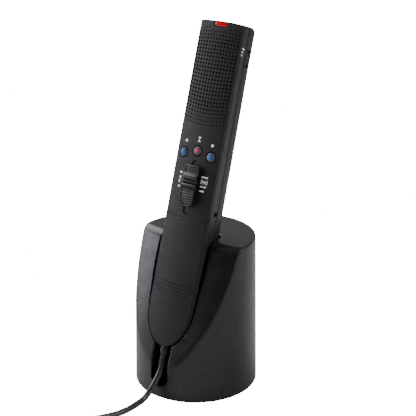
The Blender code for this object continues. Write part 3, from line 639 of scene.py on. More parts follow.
def button_cap(name, colour, ring, centre):
    """Plastic whose colour is strongest round the button's axis and goes over into its ring's grey, which is
    partly painted reflection off the glossy rim.
    """
    made, tree, coords = new_material(name)
    axis = MIC_MM.to_3x3().normalized() @ Vector((0, 1, 0))
    kind = "ShaderNodeVectorMath"
    shift = add_node(tree, kind, {0: coords, 1: centre}, "SUBTRACT")
    across = add_node(tree, kind, {0: shift.outputs["Vector"], 1: axis}, "CROSS_PRODUCT")
    size = add_node(tree, kind, {0: across.outputs["Vector"]}, "LENGTH")
    inputs = {0: size.outputs["Value"], 1: 1 / (BUTTON_RADIUS * MM)}
    ramp = add_node(tree, "ShaderNodeValToRGB",
                    {"Fac": add_node(tree, "ShaderNodeMath", inputs, "MULTIPLY").outputs["Value"]})
    stops = ramp.color_ramp.elements
    stops[0].position, stops[0].color = 0.3, (*colour, 1)
    # This stop's grey is partly the ring's own colour and partly painted reflection off its glossy rim.
    stops[1].position, stops[1].color = 0.74, (*ring, 1)
    stops.new(0.55).color = (*[(a + b) / 2.6 for a, b in zip(colour, ring)], 1)
    shade(tree, {
        "Base Color": ramp.outputs["Color"],
        "Roughness": 0.42,
        "Normal": bump(tree, noise(tree, coords, 2500.0, 2.0), 0.05, 0.00003),
    })
    return made


def lamp(name, colour, glow):
    """Tinted clear plastic with light behind it."""
    made, tree, coords = new_material(name)
    shade(tree, {
        "Base Color": colour_between(tree, noise(tree, coords, 500.0, 2.0), tinted(colour, 0.8), colour),
        "Roughness": 0.12,
        "Emission Color": (*colour, 1),
        "Emission Strength": glow,
        "Coat Weight": 1.0,
        "Coat Roughness": 0.06,
    })
    return made


def circuit_board(name):
    """Green lacquer over copper tracks."""
    made, tree, coords = new_material(name)
    tracks = add_node(tree, "ShaderNodeTexBrick", {
        "Vector": coords,
        "Scale": 260.0,
        "Mortar Size": 0.03,
        "Color1": (0.012, 0.11, 0.045, 1),
        "Color2": (0.016, 0.14, 0.055, 1),
        "Mortar": (0.05, 0.24, 0.1, 1),
    })
    shade(tree, {
        "Base Color": tracks.outputs["Color"],
        "Roughness": 0.3,
        "Normal": bump(tree, tracks.outputs["Fac"], 0.2, 0.00005),
    })
    return made


def make_materials():
    """The material of each slot. Only the buttons have their own."""
    for name, *look in (
        ("stand_plastic", (0.011, 0.0106, 0.0112), 0.34, 3000.0, 0.08, 0.42),
        ("panel_plastic", (0.0195, 0.0187, 0.02), 0.5, 3600.0, 0.12, 0.22),
        ("frame_plastic", (0.022, 0.0215, 0.022), 0.4, 3600.0, 0.1),
        ("housing_plastic", (0.014, 0.014, 0.0145), 0.4, 3600.0, 0.12),
        ("slider_plastic", (0.012, 0.0115, 0.012), 0.42, 3600.0, 0.1),
        ("dark_plastic", (0.014, 0.014, 0.015), 0.6),
        ("foot_rubber", (0.014, 0.014, 0.014), 0.75, 1800.0, 0.5),
        ("cord_jacket", (0.034, 0.034, 0.035), 0.3, 1500.0, 0.06),
        ("wire_grey", (0.22, 0.22, 0.22), 0.55, 1500.0, 0.2),
        ("plug_white", (0.7, 0.7, 0.67), 0.4, 1500.0, 0.1),
        ("speaker_paper", (0.05, 0.05, 0.05), 0.9, 900.0, 0.6),
        ("felt", (0.006, 0.006, 0.006), 1.0, 1400.0, 1.0, 0.1, 0.3),
    ):
        MATERIALS[name] = moulded(name, *look)
    for name, *look in (
        ("steel", (0.5, 0.5, 0.52), 0.38),
        ("plug_steel", (0.66, 0.66, 0.68), 0.25, (14, 1, 1)),
        ("screw_zinc", (0.62, 0.62, 0.63), 0.34, (1, 1, 1)),
        ("aluminium", (0.66, 0.67, 0.69), 0.36, (1, 1, 1)),
        ("brass", (0.62, 0.47, 0.2), 0.34, (1, 1, 1)),
    ):
        MATERIALS[name] = metal(name, *look)
    # The marks' white ink carries a faint painted glow.
    MATERIALS["marking_white"] = printed("marking_white", (0.92, 0.92, 0.92))
    MATERIALS["board_green"] = circuit_board("board_green")
    MATERIALS["lamp_red"] = lamp("lamp_red", (0.5, 0.003, 0.008), 0.3)


def dress_cad_nodes():
    """Gives every CAD node that stays visible the material of its slot."""
    for row in frame["record"]["subparts"]:
        node = frame["nodes"][row["node"]]
        material = MATERIALS.get(row["material_slot"], MATERIALS["dark_plastic"])
        if len(node.material_slots) == 0:
            node.data.materials.append(material)
        for slot in node.material_slots:
            slot.material = material


# ---- Stand


def in_mic_frame(x, y, z):
    """The same place in the microphone's frame."""
    dy, dz = y - TIP.y, z - TIP.z
    return x, dy * math.cos(LEAN) - dz * math.sin(LEAN), dy * math.sin(LEAN) + dz * math.cos(LEAN)


def gently(value, start, end):
    """0 before start, 1 after end, and a smooth step between."""
    share = np.clip((value - start) / (end - start), 0, 1)
    return share * share * (3 - 2 * share)


def arm_field(x, y, z):
    """Positive in front of the two slanted arm faces, which fall away towards their outer edges."""
    dy, dz = y - (TIP.y + 0.1), z - TIP.z
    depth = dy * math.cos(ARM_TILT) - dz * math.sin(ARM_TILT)
    return ARM_CROWN * x * x + ARM_FALL * np.maximum(np.abs(x) - ARM_FLAT, 0) ** 2 - depth


def pocket_field(x, y, z):
    """Negative in the pocket, in the microphone's frame. It is wider between the arms, most on the left."""
    room = POCKET_ROOM - POCKET_ROOM_TILT * np.clip(x / HALF_WIDTH, -1, 1)
    gap = POCKET_GAP + room * gently(z, 8, 50) * gently(-y, -10, -4)
    outline = face_field(x, z, gap, open_top=True)
    section = section_field(x, y, z, HALF_WIDTH + gap, POCKET_FLOOR - BACK_START)
    return cut_round(outline, section, 1.0)


def slot_field(x, y, z):
    """Negative in the slot that the cord leaves through, in the microphone's frame."""
    beyond = np.maximum(np.maximum(CORD_SLOT_LOW - z, z - CORD_SLOT_HIGH), 0)
    return cut_round(np.hypot(x, beyond) - CORD_SLOT_HALF, y - CORD_SLOT_BACK, 0.8)


def stand_field(x, y, z):
    """The stand's shell: a tapered drum with two arms, a pocket, a slot, and a hollow open below."""
    leaning = in_mic_frame(x, y, z)
    side = np.hypot(x, y) - (STAND_RADIUS - STAND_TAPER * z / STAND_HEIGHT)
    shell = cut_round(z - STAND_HEIGHT, arm_field(x, y, z), 4.0)
    shell = cut_round(shell, side, 1.1)
    shell = cut_round(shell, STAND_BOTTOM - z, 0.25)
    shell = cut_round(shell, -pocket_field(*leaning), 0.5)
    shell = cut_round(shell, -slot_field(*leaning), 0.7)
    hollow = np.maximum(side + STAND_WALL, z - (STAND_HEIGHT - STAND_WALL))
    hollow = cut_round(hollow, POCKET_FLOOR + STAND_WALL - leaning[1], 1.0)
    spots = [(x - cx, y - cy) for cx, cy in map(screw_centre, BASE_SCREW_ANGLES)]
    for dx, dy in spots[1:]:
        hollow = np.maximum(hollow, -cylinder(dx, dy, BASE_BOSS_RADIUS, 1, 15, z))
    shell = np.maximum(shell, -hollow)
    shell = np.maximum(shell, -cylinder(x, y, RECESS_RADIUS, -5, RECESS_TOP, z))
    for dx, dy in spots:
        shell = np.maximum(shell, -cylinder(dx, dy, BASE_SCREW_HOLE, 2, 7.2, z))
    return shell


def screw_centre(angle):
    """Where a base screw stands."""
    turn = math.radians(angle)
    return BASE_SCREW_RADIUS * math.cos(turn), BASE_SCREW_RADIUS * math.sin(turn)


def make_stand():
    low, high = (-STAND_RADIUS, -STAND_RADIUS, 0.2), (STAND_RADIUS, STAND_RADIUS, STAND_HEIGHT)
    add_solid("desk_stand", stand_field, low, high, (0.6, 0.12), (1.2, 0.3), "stand_plastic", ["stand_shell"],
              body="stand", matrix=WORLD_MM)


# ---- Microphone housing


def housing_field(x, y, z, open_front=False):
    """The microphone's rear half as a solid, from the seam to the back."""
    sides = np.maximum(face_field(x, z, open_top=True), section_field(x, y, z, HALF_WIDTH, BACK_DEPTH))
    field = cut_round(sides, z - top_z(x), TOP_CORNER + 2.0 * np.clip((y - 6) / 4, 0, 1))
    field = cut_round(field, behind(back_y, y, z), 3.0)
    return field if open_front else cut_round(field, -behind(seam_y, y - SEAM_GAP, z), 0.35)


def cord_hole(x, y, z):
    """Negative in the hole at the lower tip, where the cord's sleeve comes in."""
    return cylinder(x, y - CORD_Y, CORD_HOLE_RADIUS, -4, 4.2, z)


def rear_field(x, y, z):
    """The rear shell: hollow, with screw bosses, screw wells, the wheel's slot and room for the cord."""
    outer = housing_field(x, y, z)
    shell = np.maximum(outer, -(housing_field(x, y, z, True) + WALL))
    for screw_z in SCREW_Z:
        for side in (-1, 1):
            dx, dz = x - side * SCREW_X, z - screw_z
            shell = np.minimum(shell, np.maximum(cylinder(dx, dz, 2.9, 6.2, 14.2, y), outer))
            shell = np.maximum(shell, -cylinder(dx, dz, 1.2, 4, 13, y))
            shell = cut_round(shell, -cylinder(dx, dz, 2.15, 12, 25, y), 0.25)
    wx, wy, wz = WHEEL_CENTRE
    half = WHEEL_THICK / 2 + 0.4
    shell = cut_round(shell, -cylinder(x - wx, z - wz, WHEEL_RADIUS + 0.5, wy - half, wy + half, y), 0.3)
    return np.maximum(shell, -cord_hole(x, y, z))


def band_field(x, y, z):
    """The band round the side, between the face plates and the rear shell."""
    outline = face_field(x, z)
    ring = np.maximum(outline, -(outline + WALL))
    ring = cut_round(ring, BAND_FRONT - y, 0.4)
    ring = cut_round(ring, behind(seam_y, y, z), 0.35)
    jack_y, jack_z = JACK
    ring = cut_round(ring, -cylinder(y - jack_y, z - jack_z, JACK_RADIUS, 10, 20, x), 0.35)
    return np.maximum(ring, -cord_hole(x, y, z))


def make_housing():
    add_solid("rear_housing", rear_field, (-HALF_WIDTH, 3.5, 0), (HALF_WIDTH, 18.5, LENGTH),
              (0.45, 0.2), (0.9, 0.4), "housing_plastic", ["rear_shell"])
    add_solid("side_band", band_field, (-HALF_WIDTH, BAND_FRONT, 0), (HALF_WIDTH, 9.2, LENGTH),
              (0.3825, 0.2), (0.765, 0.4), "frame_plastic", ["mic_frame"])


def column_x(column):
    """Where a column of holes stands."""
    return PITCH * (column - (GRILLE_COLUMNS - 1) / 2)


def grille_holes():
    """Rows of holes that change from a slight arch at the top to a sag at the bottom."""
    holes = []
    for row in range(GRILLE_ROWS):
        bend = 0.8 - 2.5 * row / (GRILLE_ROWS - 1)
        faint = min(row / 4, (GRILLE_ROWS - 1 - row) / 5, 1)
        radius = HOLE_RADIUS * (0.62 + 0.38 * faint)
        for x in map(column_x, range(GRILLE_COLUMNS)):
            z = GRILLE_TOP - PITCH * row + bend * (1 - (x / 13) ** 2) - max(bend, 0)
            under_lamp = abs(x) < 5.6 and z > 180.3
            if not under_lamp:
                holes.append((x, z, radius))
    return holes


def speaker_holes():
    """Four sagging rows of small holes low on the face, the last without its ends."""
    holes = []
    for row in range(SPEAKER_ROWS):
        for x in map(column_x, range(GRILLE_COLUMNS)):
            if abs(x) < 12.5 or row < SPEAKER_ROWS - 1:
                holes.append((x, SPEAKER_TOP - PITCH * row + 1.2 * (x / 13) ** 2, SPEAKER_HOLE_RADIUS))
    return holes


def fill_points(low, high, step, avoid):
    """Points on a grid over the face that keep clear of given round holes (x, z, radius)."""
    return [
        (x, z)
        for z in np.arange(low, high, step)
        for x in np.linspace(-12.6, 12.6, 13)
        if all((x - a) ** 2 + (z - b) ** 2 > (r + 0.7) ** 2 for a, b, r in avoid)
    ]


def slot_loop():
    """The slider's slot, clockwise."""
    half = SLOT_HALF
    return (arc(0, SLOT_HIGH - half, half, 0, 180, 10) + arc(0, SLOT_LOW + half, half, 180, 360, 10))[::-1]


def upper_outline():
    """The upper plate's outline, with the lamp's notch in its top edge."""
    low, half = PARTING + 0.03, HALF_WIDTH
    shoulder = LENGTH - TOP_ARCH
    corner = arc(half - TOP_CORNER, shoulder - TOP_CORNER, TOP_CORNER, 0, 90, 6)
    top = [(x, top_z(x)) for x in (11, 9, 7, 5)]
    notch = [(4.3, LENGTH - 0.08), (4.2, LENGTH - 0.6), (4.2, 183.2), (4.1, 182.4), (3.6, 181.8)]
    right = [(half, low)] + corner + top + notch + [(2.7, 181.6)]
    left = [(-x, z) for x, z in right[::-1]]
    return spaced(right + left, 3.0)


def lower_outline():
    """The lower plate's outline: a round tongue with straight sides above it."""
    half, high = HALF_WIDTH, PARTING - 0.03
    deep = TONGUE - TONGUE_END
    tongue = [(-half * math.cos(a), TONGUE - deep * math.sin(a)) for a in np.linspace(0, math.pi, 49)]
    return spaced(tongue + [(half, high), (-half, high)], 3.0)


def lower_surface(x, z):
    """The lower plate's face, with a shallow step above the loudspeaker's holes that runs out below them."""
    edge = 38.4 + 0.5 * (np.abs(x) / 13) ** 2 - 1.2 * (1 - (x / 13) ** 2)
    below = np.clip((edge - z) / 0.5, 0, 1)
    fade = np.clip((z - 24) / 8, 0, 1)
    return crown_y(x) + 0.16 * below * fade


def edge_lips(outline):
    """The rounding at each point of an outline: fine at the parting line and the top, and full elsewhere."""
    x, z = np.asarray(outline, float).T
    inner = np.abs(x) < HALF_WIDTH - 0.1
    at_line, at_top = inner & (np.abs(z - PARTING) < 0.2), inner & (z > LENGTH - 1.2)
    return np.where(at_line, 0.09, np.where(at_top, 0.16, 0.65))


def lower_back(x, z):
    """The back of the lower plate, which makes room for the cord's sleeve at its tip."""
    flat = crown_y(x) + PANEL
    room = CORD_Y - np.sqrt(np.maximum(CORD_HOLE_RADIUS**2 - x**2, 0)) - 0.2
    return np.where((np.abs(x) < 2.1) & (z < 4.4), np.minimum(flat, room), flat)


def make_face():
    grille = grille_holes()
    round_holes = [(x, z, BUTTON_RADIUS + 0.35) for x, z in BUTTONS.values()]
    slot = [(0, z, SLOT_HALF) for z in np.arange(SLOT_LOW + SLOT_HALF, SLOT_HIGH - SLOT_HALF + 1, 1.5)]
    filling = fill_points(77, 127, 3.0, round_holes + slot + [hole for hole in grille if hole[1] < 133])
    holes = [ring_hole(*hole) for hole in grille] + [ring_hole(*hole, 32) for hole in round_holes]
    outline = upper_outline()
    shape = plate(outline, holes + [slot_loop()], crown_y, lambda x, z: crown_y(x) + PANEL,
                  edge_lips(outline), filling=filling)
    add_piece("upper_face_plate", shape, "panel_plastic", ["upper_front_panel"])
    dimples = speaker_holes()
    filling = [spot for spot in fill_points(3, 74, 1.0, dimples) if face_field(*spot) < -0.9]
    holes = [ring_hole(*hole, 10) for hole in dimples]
    outline = lower_outline()
    shape = plate(outline, holes, lower_surface, lower_back, edge_lips(outline), 0.1, filling)
    add_piece("lower_face_plate", shape, "panel_plastic", ["lower_front_panel"])


def cover_outline(end, flat):
    """A cover's outline, anticlockwise: it fits one round end of the slot and is cut off straight."""
    up = 1 if end > flat else -1
    half = SLOT_HALF - 0.12
    cut = [(-up * half, flat), (up * half, flat)]
    return spaced(cut + arc(0, end - up * SLOT_HALF, half, 90 - 90 * up, 270 - 90 * up, 16), 1.5)


def make_slot_covers():
    """Raised ends of the strip behind the slider, which nearly fill the slot where the slider isn't."""
    for name, end, flat in (("slot_cover_upper", SLOT_HIGH, 102.6), ("slot_cover_lower", SLOT_LOW, 81.3)):
        shape = plate(cover_outline(end, flat), [], lambda x, z: crown_y(x) + 0.55,
                      lambda x, z: np.full_like(x, 0.7), 0.12)
        add_piece(name, shape, "panel_plastic")


def lens_field(x, y, z):
    """The lamp's lens: a small window that follows the face and wraps over the top edge."""
    side = cut_round(np.abs(x) - 3.95, 181.85 - z, 1.2)
    field = cut_round(side, z - top_z(x), 0.3)
    field = cut_round(field, crown_y(x) - 0.05 - y, 0.5)
    return cut_round(field, y - 1.6, 0.2)


def make_lens():
    add_solid("lamp_window", lens_field, (-4.8, -1.5, 181.6), (4.8, 1.8, LENGTH), (0.15, 0.3), (0.15, 0.3),
              "lamp_red", ["record_lamp_lens"])


# ---- Slider, buttons, wheel and marks


def cap_outline(x, z):
    """Negative inside the thumb slider's outline: square-shouldered above and round below."""
    half = 4.85 + 0.12 * np.cos((z - 92) * 0.5)
    low, high = 80.9, 104.3
    end = 4.4
    beyond = np.maximum(low + end - z, 0)
    lower = np.where(beyond > 0, np.hypot(x / half * end, beyond) - end, np.abs(x) - half)
    return cut_round(lower, z - high, 1.7)


def cap_height(x, z):
    """The slider's top surface, as a height above the face's crown line."""
    heights = np.interp(z, *zip(*CAP_PROFILE))
    inside = np.clip((-cap_outline(x, z) - 0.55) / 0.3, 0, 1)
    upper = np.clip((z - 100.2) / 0.3, 0, 1) * np.clip((103.75 - z) / 0.3, 0, 1)
    lower = np.clip((91.2 - z) / 0.4, 0, 1) * np.clip((z - 81.4) / 0.6, 0, 1)
    rib = 0.5 + 0.5 * np.cos(2 * math.pi * (z - 0.02 * x * x) / RIB_PITCH)
    fine = 0.5 + 0.5 * np.cos(2 * math.pi * z / FINE_RIB_PITCH)
    depth = inside * (upper * (0.35 + 0.2 * fine) + lower * (0.25 + 0.4 * rib))
    return heights - depth - 0.012 * x * x


def cap_field(x, y, z):
    """The thumb slider: its ribbed top, sides that draw in below it, and the stem that goes into the slot."""
    top = -CROWN - cap_height(x, z) - y
    undercut = 0.45 * np.clip(-top - 0.7, 0, 2.5)
    field = cut_round((cap_outline(x, z) + undercut) * 0.92, top * 0.8, 0.35)
    field = cut_round(field, y - (crown_y(x) - 0.3), 0.1)
    stem = np.maximum(np.maximum(np.abs(x) - 1.5, np.abs(z - 93.2) - 6.0), y - 1.1)
    return np.minimum(field, np.maximum(stem, -CROWN - 1 - y))


def make_slider():
    add_solid("thumb_slider", cap_field, (-5.2, -5.5, 80.6), (5.2, 1.2, 104.7), (0.15, 0.9), (0.26, 1.0),
              "slider_plastic", ["slider_cap"], body="slider")


def axis_frame(x, z):
    """A frame whose z axis points out of the face at (x, z)."""
    out = Matrix(((1, 0, 0, x), (0, 0, -1, 0), (0, 1, 0, z), (0, 0, 0, 1)))
    return MIC_MM @ out


def rounded_profile(points, radius, steps):
    """The profile with its inner corners rounded."""
    points = [Vector(p) for p in points]
    found = [points[0]]
    for before, corner, after in zip(points, points[1:], points[2:]):
        reach = min(radius, (before - corner).length * 0.49, (after - corner).length * 0.49)
        a = corner + (before - corner).normalized() * reach
        b = corner + (after - corner).normalized() * reach
        for i in range(steps + 1):
            t = i / steps
            found.append(a * (1 - t) ** 2 + corner * 2 * t * (1 - t) + b * t * t)
    return [tuple(p) for p in found + [points[-1]]]


def make_buttons():
    """Each button is a ring cap with a coloured dome in it."""
    for side, (x, z) in BUTTONS.items():
        body, slot, colour = BUTTON_LOOKS[side]
        # The fade to the ring's grey is partly painted reflection off the glossy rim.
        paint = button_cap("cap_" + side, colour, RING_GREY_AND_SHEEN, MIC_MM @ Vector((x, 0, z)))
        matrix = axis_frame(x, z)
        top = BUTTON_RISE - crown_y(x)
        inner, outer = BUTTON_RING[0][0], BUTTON_RING[-1][0]
        ring = [(inner, -0.1)] + [(radius, top - drop) for radius, drop in BUTTON_RING]
        shape = lathe(rounded_profile(ring + [(outer, -0.1), (inner, -0.1)], 0.15, 3), 48)
        add_piece("button_ring_" + side, shape, "button_ring", ["button_" + side], body, matrix, paint)
        dome = [(radius, top - drop) for radius, drop in BUTTON_DOME]
        shape = welded(*lathe(rounded_profile(dome, 0.05, 2), 48))
        add_piece("button_dome_" + side, shape, slot, ["button_inlay_" + side], body, matrix, paint)


def make_wheel():
    """The knurled volume wheel: rounded grooves round the rim and a dished face on each side."""
    half, radius, teeth = WHEEL_THICK / 2, WHEEL_RADIUS, 48
    lower = [(1.55, -half), (7.6, -half), (8.0, -half + 0.3), (9.4, -half + 0.3), (9.6, -half),
             (radius - 0.25, -half), (radius, -half + 0.3)]
    upper = [(reach, -height) for reach, height in lower[::-1]]
    shape = lathe(lower + upper + lower[:1], teeth * 8, lambda a: -0.17 * (1 - math.cos(a * teeth)))
    x, y, z = WHEEL_CENTRE
    matrix = axis_frame(x, z) @ Matrix.Translation((0, 0, -y))
    add_piece("knurled_wheel", shape, "dark_plastic", ["volume_wheel"], "wheel", matrix)


def inked(name, marks):
    """Thin printed marks. Each is a convex loop of pairs of points: just outside the surface and under it."""
    points, faces = [], []
    for mark in marks:
        start, count = len(points), len(mark)
        points += [outside for outside, _ in mark] + [under for _, under in mark]
        faces.append([start + i for i in range(count)])
        for i in range(count):
            j = (i + 1) % count
            faces.append([start + j, start + i, start + count + i, start + count + j])
    add_piece(name, (points, faces), "marking_white")


def on_face(*loops):
    """Marks on the face, from anticlockwise loops of (x, z) points."""
    return [[((x, crown_y(x) - INK, z), (x, crown_y(x) + INK_ROOT, z)) for x, z in loop] for loop in loops]


def bar(x, z, wide, high):
    """A rectangle as an anticlockwise loop, seen from the front."""
    left, right, low, high = x - wide / 2, x + wide / 2, z - high / 2, z + high / 2
    return [(left, low), (right, low), (right, high), (left, high)]


def make_marks():
    """Plain marks above the buttons, on both sides of the slider and beside the volume wheel."""
    inked("mark_disc_left", on_face(circle(-8.7, 117.0, 0.78, 20)))
    inked("mark_disc_right", on_face(circle(9.0, 116.8, 0.82, 20)))
    inked("mark_hourglass", on_face(
        [(-0.75, 119.9), (0.0, 118.75), (0.75, 119.9)], [(-0.75, 117.8), (0.75, 117.8), (0.0, 118.95)],
        bar(0, 120.05, 1.9, 0.32), bar(0, 117.65, 1.9, 0.32),
    ))
    inked("marks_left", on_face(
        bar(-8.3, 99.0, 1.5, 1.0), bar(-8.5, 96.2, 0.9, 1.6), bar(-8.7, 94.0, 0.9, 1.6),
        bar(-8.4, 91.2, 1.5, 1.0),
    ))
    inked("marks_right", on_face(
        bar(6.5, 98.8, 1.2, 0.95), bar(8.0, 98.8, 1.2, 0.95), bar(9.4, 98.8, 1.0, 0.95),
        bar(8.0, 97.1, 4.2, 0.22), bar(8.0, 95.1, 4.2, 0.22), bar(6.0, 96.1, 0.25, 1.8),
        bar(10.0, 96.1, 0.25, 1.8), bar(8.0, 96.1, 2.6, 0.8), bar(6.7, 93.5, 1.3, 0.75),
        bar(8.7, 93.5, 2.0, 0.75), circle(8.2, 91.0, 0.62, 20), bar(6.8, 91.0, 1.4, 0.75),
    ))
    near, marks = 2.35, []
    for z, long in ((168.4, 1.1), (170.15, 1.6), (171.9, 2.1)):
        loop = [(near, z - 0.38), (near + long, z - 0.75), (near + long, z - 0.1), (near, z + 0.27)]
        marks.append([((HALF_WIDTH + INK, y, z), (HALF_WIDTH - INK_ROOT, y, z)) for y, z in loop])
    inked("volume_marks", marks)


def make_relief():
    """The ribbed sleeve where the cord leaves the microphone."""
    profile = [(0, RELIEF_END), (1.95, RELIEF_END), (2.05, RELIEF_END + 0.25)]
    for i in range(4):
        low = -10.1 + 1.35 * i
        profile += [(2.1, low), (2.12, low + 0.75), (1.86, low + 0.85), (1.86, low + 1.25)]
    profile += [(2.0, -4.4), (2.4, -3.2), (2.6, -1.9), (2.5, -0.6), (2.1, 0.4), (1.8, 0.9), (1.8, 3.9)]
    shape = welded(*lathe(rounded_profile(profile + [(0, 3.9)], 0.12, 2), 32))
    matrix = MIC_MM @ Matrix.Translation((0, CORD_Y, 0))
    add_piece("ribbed_relief", shape, "dark_plastic", ["strain_relief"], matrix=matrix)


# ---- Cord


def smooth_route(points, step):
    """Points about a step apart along a smooth curve through the given ones."""
    points = [Vector(p) for p in points]
    points = [2 * points[0] - points[1]] + points + [2 * points[-1] - points[-2]]
    line = []
    for before, start, end, after in zip(points, points[1:], points[2:], points[3:]):
        for t in np.linspace(0, 1, 12, endpoint=False):
            curve = 2 * start + (end - before) * t
            curve += (2 * before - 5 * start + 4 * end - after) * t * t
            curve += (3 * start - before - 3 * end + after) * t**3
            line.append(curve / 2)
    line = np.array(line + [points[-2]])
    along = np.append(0, np.cumsum(np.linalg.norm(np.diff(line, axis=0), axis=1)))
    at = np.linspace(0, along[-1], round(along[-1] / step) + 1)
    return np.stack([np.interp(at, along, line[:, k]) for k in range(3)], axis=1)


def by_coil(radius, angle, height, shift=0.0):
    """A place at an angle round the coil's centre, or round a place beside that centre."""
    turn = math.radians(angle)
    return COIL_CENTRE.x + shift + radius * math.cos(turn), COIL_CENTRE.y + radius * math.sin(turn), height


def coil_route():
    """The turns of the coil: layers of turns side by side, worked inwards and outwards by turns."""
    places = []
    for layer in range(COIL_ROWS):
        order = range(COIL_ROWS) if layer % 2 else range(COIL_ROWS)[::-1]
        middle = (COIL_ROWS - 1) / 2
        places += [(COIL_TURN_RADIUS + COIL_STEP * (i - middle), TABLE + COIL_STEP * layer) for i in order]
    route = []
    first, step, change, last_turn = 160, 9, 80, 261
    for here, there in zip(places, places[1:] + places[-1:]):
        end = last_turn if here == places[-1] else 360
        for angle in range(0, end, step):
            share = gently(angle, 360 - change, 360)
            radius, height = (a + (b - a) * share for a, b in zip(here, there))
            route.append(by_coil(radius, first + angle, height))
    return route


def cord_route():
    """The whole lead: down from the strain relief, along the table, round the coil and into the plug."""
    start = MIC_MM @ Vector((0, CORD_Y, RELIEF_END - CORD_GAP)) / MM
    free = [
        tuple(start), (-0.3, -33.6, 15.2), (-1, -35.8, 11.4), (-1.9, -38.6, 7.4), (-2.6, -41.6, 4.2),
        (-2.9, -45.2, 2.3), (-2.9, -49, TABLE), (-2.8, -54, TABLE), (-3.1, -60, TABLE), (-4.8, -66.6, TABLE),
        (-8.2, -73.2, TABLE), (-12.2, -79.6, TABLE), (-16, -87, TABLE), (-19, -95.5, TABLE),
        (-20.5, -104.5, TABLE), (-21.6, -112.6, TABLE), (-23.4, -120.4, TABLE),
    ]
    return smooth_route(free + coil_route() + end_route(), 2.6)


def end_route():
    """Up from the last turn, round on top of the coil and into the back of the plug."""
    height = COIL_ROWS * COIL_STEP + 0.05 + CORD_GAP + CORD_RADIUS
    climb = ((76, 5.2, 1.2), (98, 3.6, 0), (122, 1.2, 0))
    route = [by_coil(COIL_TURN_RADIUS + outward, angle, height - drop) for angle, outward, drop in climb]
    route += [by_coil(COIL_TURN_RADIUS, angle, height) for angle in (137, 152, 167, 180)]
    bend = 11.6
    for angle in (200, 222, 245, 270):
        rise = (PLUG_AXIS_Z - height) * (angle - 180) / 90
        route.append(by_coil(bend, angle, height + rise, bend - COIL_TURN_RADIUS))
    return route


def tube_mesh(path, radius, sides=12):
    """A tube along a path, with closed ends, its cross-section carried along without twisting."""
    ahead = np.gradient(path, axis=0)
    ahead /= np.linalg.norm(ahead, axis=1)[:, None]
    turn = np.linspace(0, 2 * math.pi, sides, endpoint=False)[:, None]
    side = np.cross(ahead[0], (0, 0, 1.0))
    points = []
    for spot, way in zip(path, ahead):
        side = side - way * (side @ way)
        side /= np.linalg.norm(side)
        points.append(spot + (side * np.cos(turn) + np.cross(way, side) * np.sin(turn)) * radius)
    rings = np.arange(len(path) * sides).reshape(-1, sides)
    return np.concatenate(points), skin(rings) + [rings[0][::-1].tolist(), rings[-1].tolist()]


def make_cord():
    route = cord_route()
    cord = add_piece("usb_cord", tube_mesh(route, CORD_RADIUS), "cord_jacket",
                     ["usb_lead", "usb_coil", "usb_lead_end"], None, WORLD_MM)
    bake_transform(cord)


# ---- Set


def make_camera():
    """From 37 degrees to the right of the stand's front, looking 20 degrees down."""
    data = bpy.data.cameras.new("camera")
    data.lens = 101.58
    data.sensor_width = 36
    data.clip_end = 20
    camera = link_object("camera", data)
    side, distance, height = math.radians(37.06), 0.61955, 0.33
    camera.location = (distance * math.sin(side), -distance * math.cos(side), height)
    camera.rotation_euler = (math.radians(69.97), 0, math.radians(36.41))
    bpy.context.scene.camera = camera


def see_white(tree, strength):
    """A strength, and plain white where the camera looks straight at it."""
    seen = add_node(tree, "ShaderNodeLightPath").outputs["Is Camera Ray"]
    return add_node(tree, "ShaderNodeMath", {0: seen, 1: WHITE, 2: strength}, "MULTIPLY_ADD").outputs["Value"]


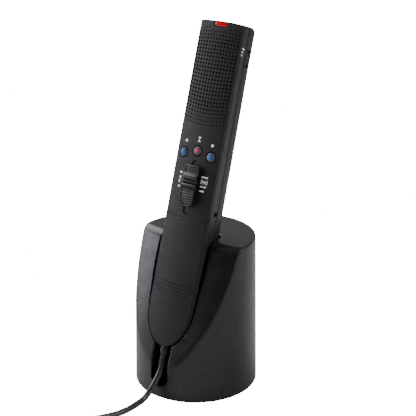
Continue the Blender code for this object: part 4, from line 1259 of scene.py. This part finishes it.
def make_floor():
    """A pale floor, so bright that it runs into the white behind it."""
    made, tree, coords = new_material("pale_floor")
    clouds = noise(tree, coords, 3.0, 2.0)
    shade(tree, {
        "Base Color": colour_between(tree, clouds, (0.82, 0.82, 0.82), (0.88, 0.88, 0.88)),
        "Roughness": 0.9,
        "Emission Color": (1, 1, 1, 1),
        "Emission Strength": see_white(tree, 0.0),
    })
    mesh = bpy.data.meshes.new("floor")
    reach = 3.0
    corners = [(-reach, -reach, 0), (reach, -reach, 0), (reach, reach, 0), (-reach, reach, 0)]
    mesh.from_pydata(corners, [], [(0, 1, 2, 3)])
    mesh.materials.append(made)
    link_object("floor", mesh)


def area_light(name, azimuth, elevation, size, power, colour=(1, 1, 1)):
    """A softbox. Azimuth 0 is in front of the stand, and it grows to the right."""
    data = bpy.data.lights.new(name, "AREA")
    data.shape = "RECTANGLE"
    data.size, data.size_y = size
    data.energy = power
    data.color = colour
    light = link_object(name, data)
    turn, rise = math.radians(azimuth), math.radians(elevation)
    way = Vector((math.sin(turn) * math.cos(rise), -math.cos(turn) * math.cos(rise), math.sin(rise)))
    light.location = LIGHT_AIM + way * LIGHT_DISTANCE
    light.rotation_euler = (-way).to_track_quat("-Z", "Y").to_euler()


def make_world():
    """A studio that is dark in front and bright behind, and plain white where it is looked at."""
    world = bpy.data.worlds.new("studio")
    world.use_nodes = True
    tree = world.node_tree
    coords = add_node(tree, "ShaderNodeTexCoord").outputs["Generated"]
    ahead = add_node(tree, "ShaderNodeSeparateXYZ", {"Vector": coords}).outputs["Y"]
    inputs = {"Value": ahead, "From Min": -0.5, "From Max": 0.8, "To Min": DARK_SIDE, "To Max": BRIGHT_SIDE}
    side = add_node(tree, "ShaderNodeMapRange", inputs)
    side.interpolation_type = "SMOOTHSTEP"
    strength = see_white(tree, side.outputs["Result"])
    feed(tree, tree.nodes["Background"], {"Color": (1, 1, 1, 1), "Strength": strength})
    bpy.context.scene.world = world


def make_lights():
    make_world()
    area_light("softbox_left", -62, 12, (0.62, 0.36), 5.2, (0.94, 0.92, 1.0))
    area_light("softbox_above", -95, 42, (0.7, 0.6), 8.2, (0.97, 0.97, 1.0))
    area_light("softbox_right", 100, 42, (0.5, 0.5), 3.6)
    area_light("strip_right", 74, 5, (0.12, 0.6), 1.1)


def main():
    make_materials()
    dress_cad_nodes()
    make_camera()
    make_cord()
    make_stand()
    make_housing()
    make_face()
    make_slot_covers()
    make_lens()
    make_slider()
    make_buttons()
    make_wheel()
    make_marks()
    make_relief()
    make_floor()
    make_lights()


main()
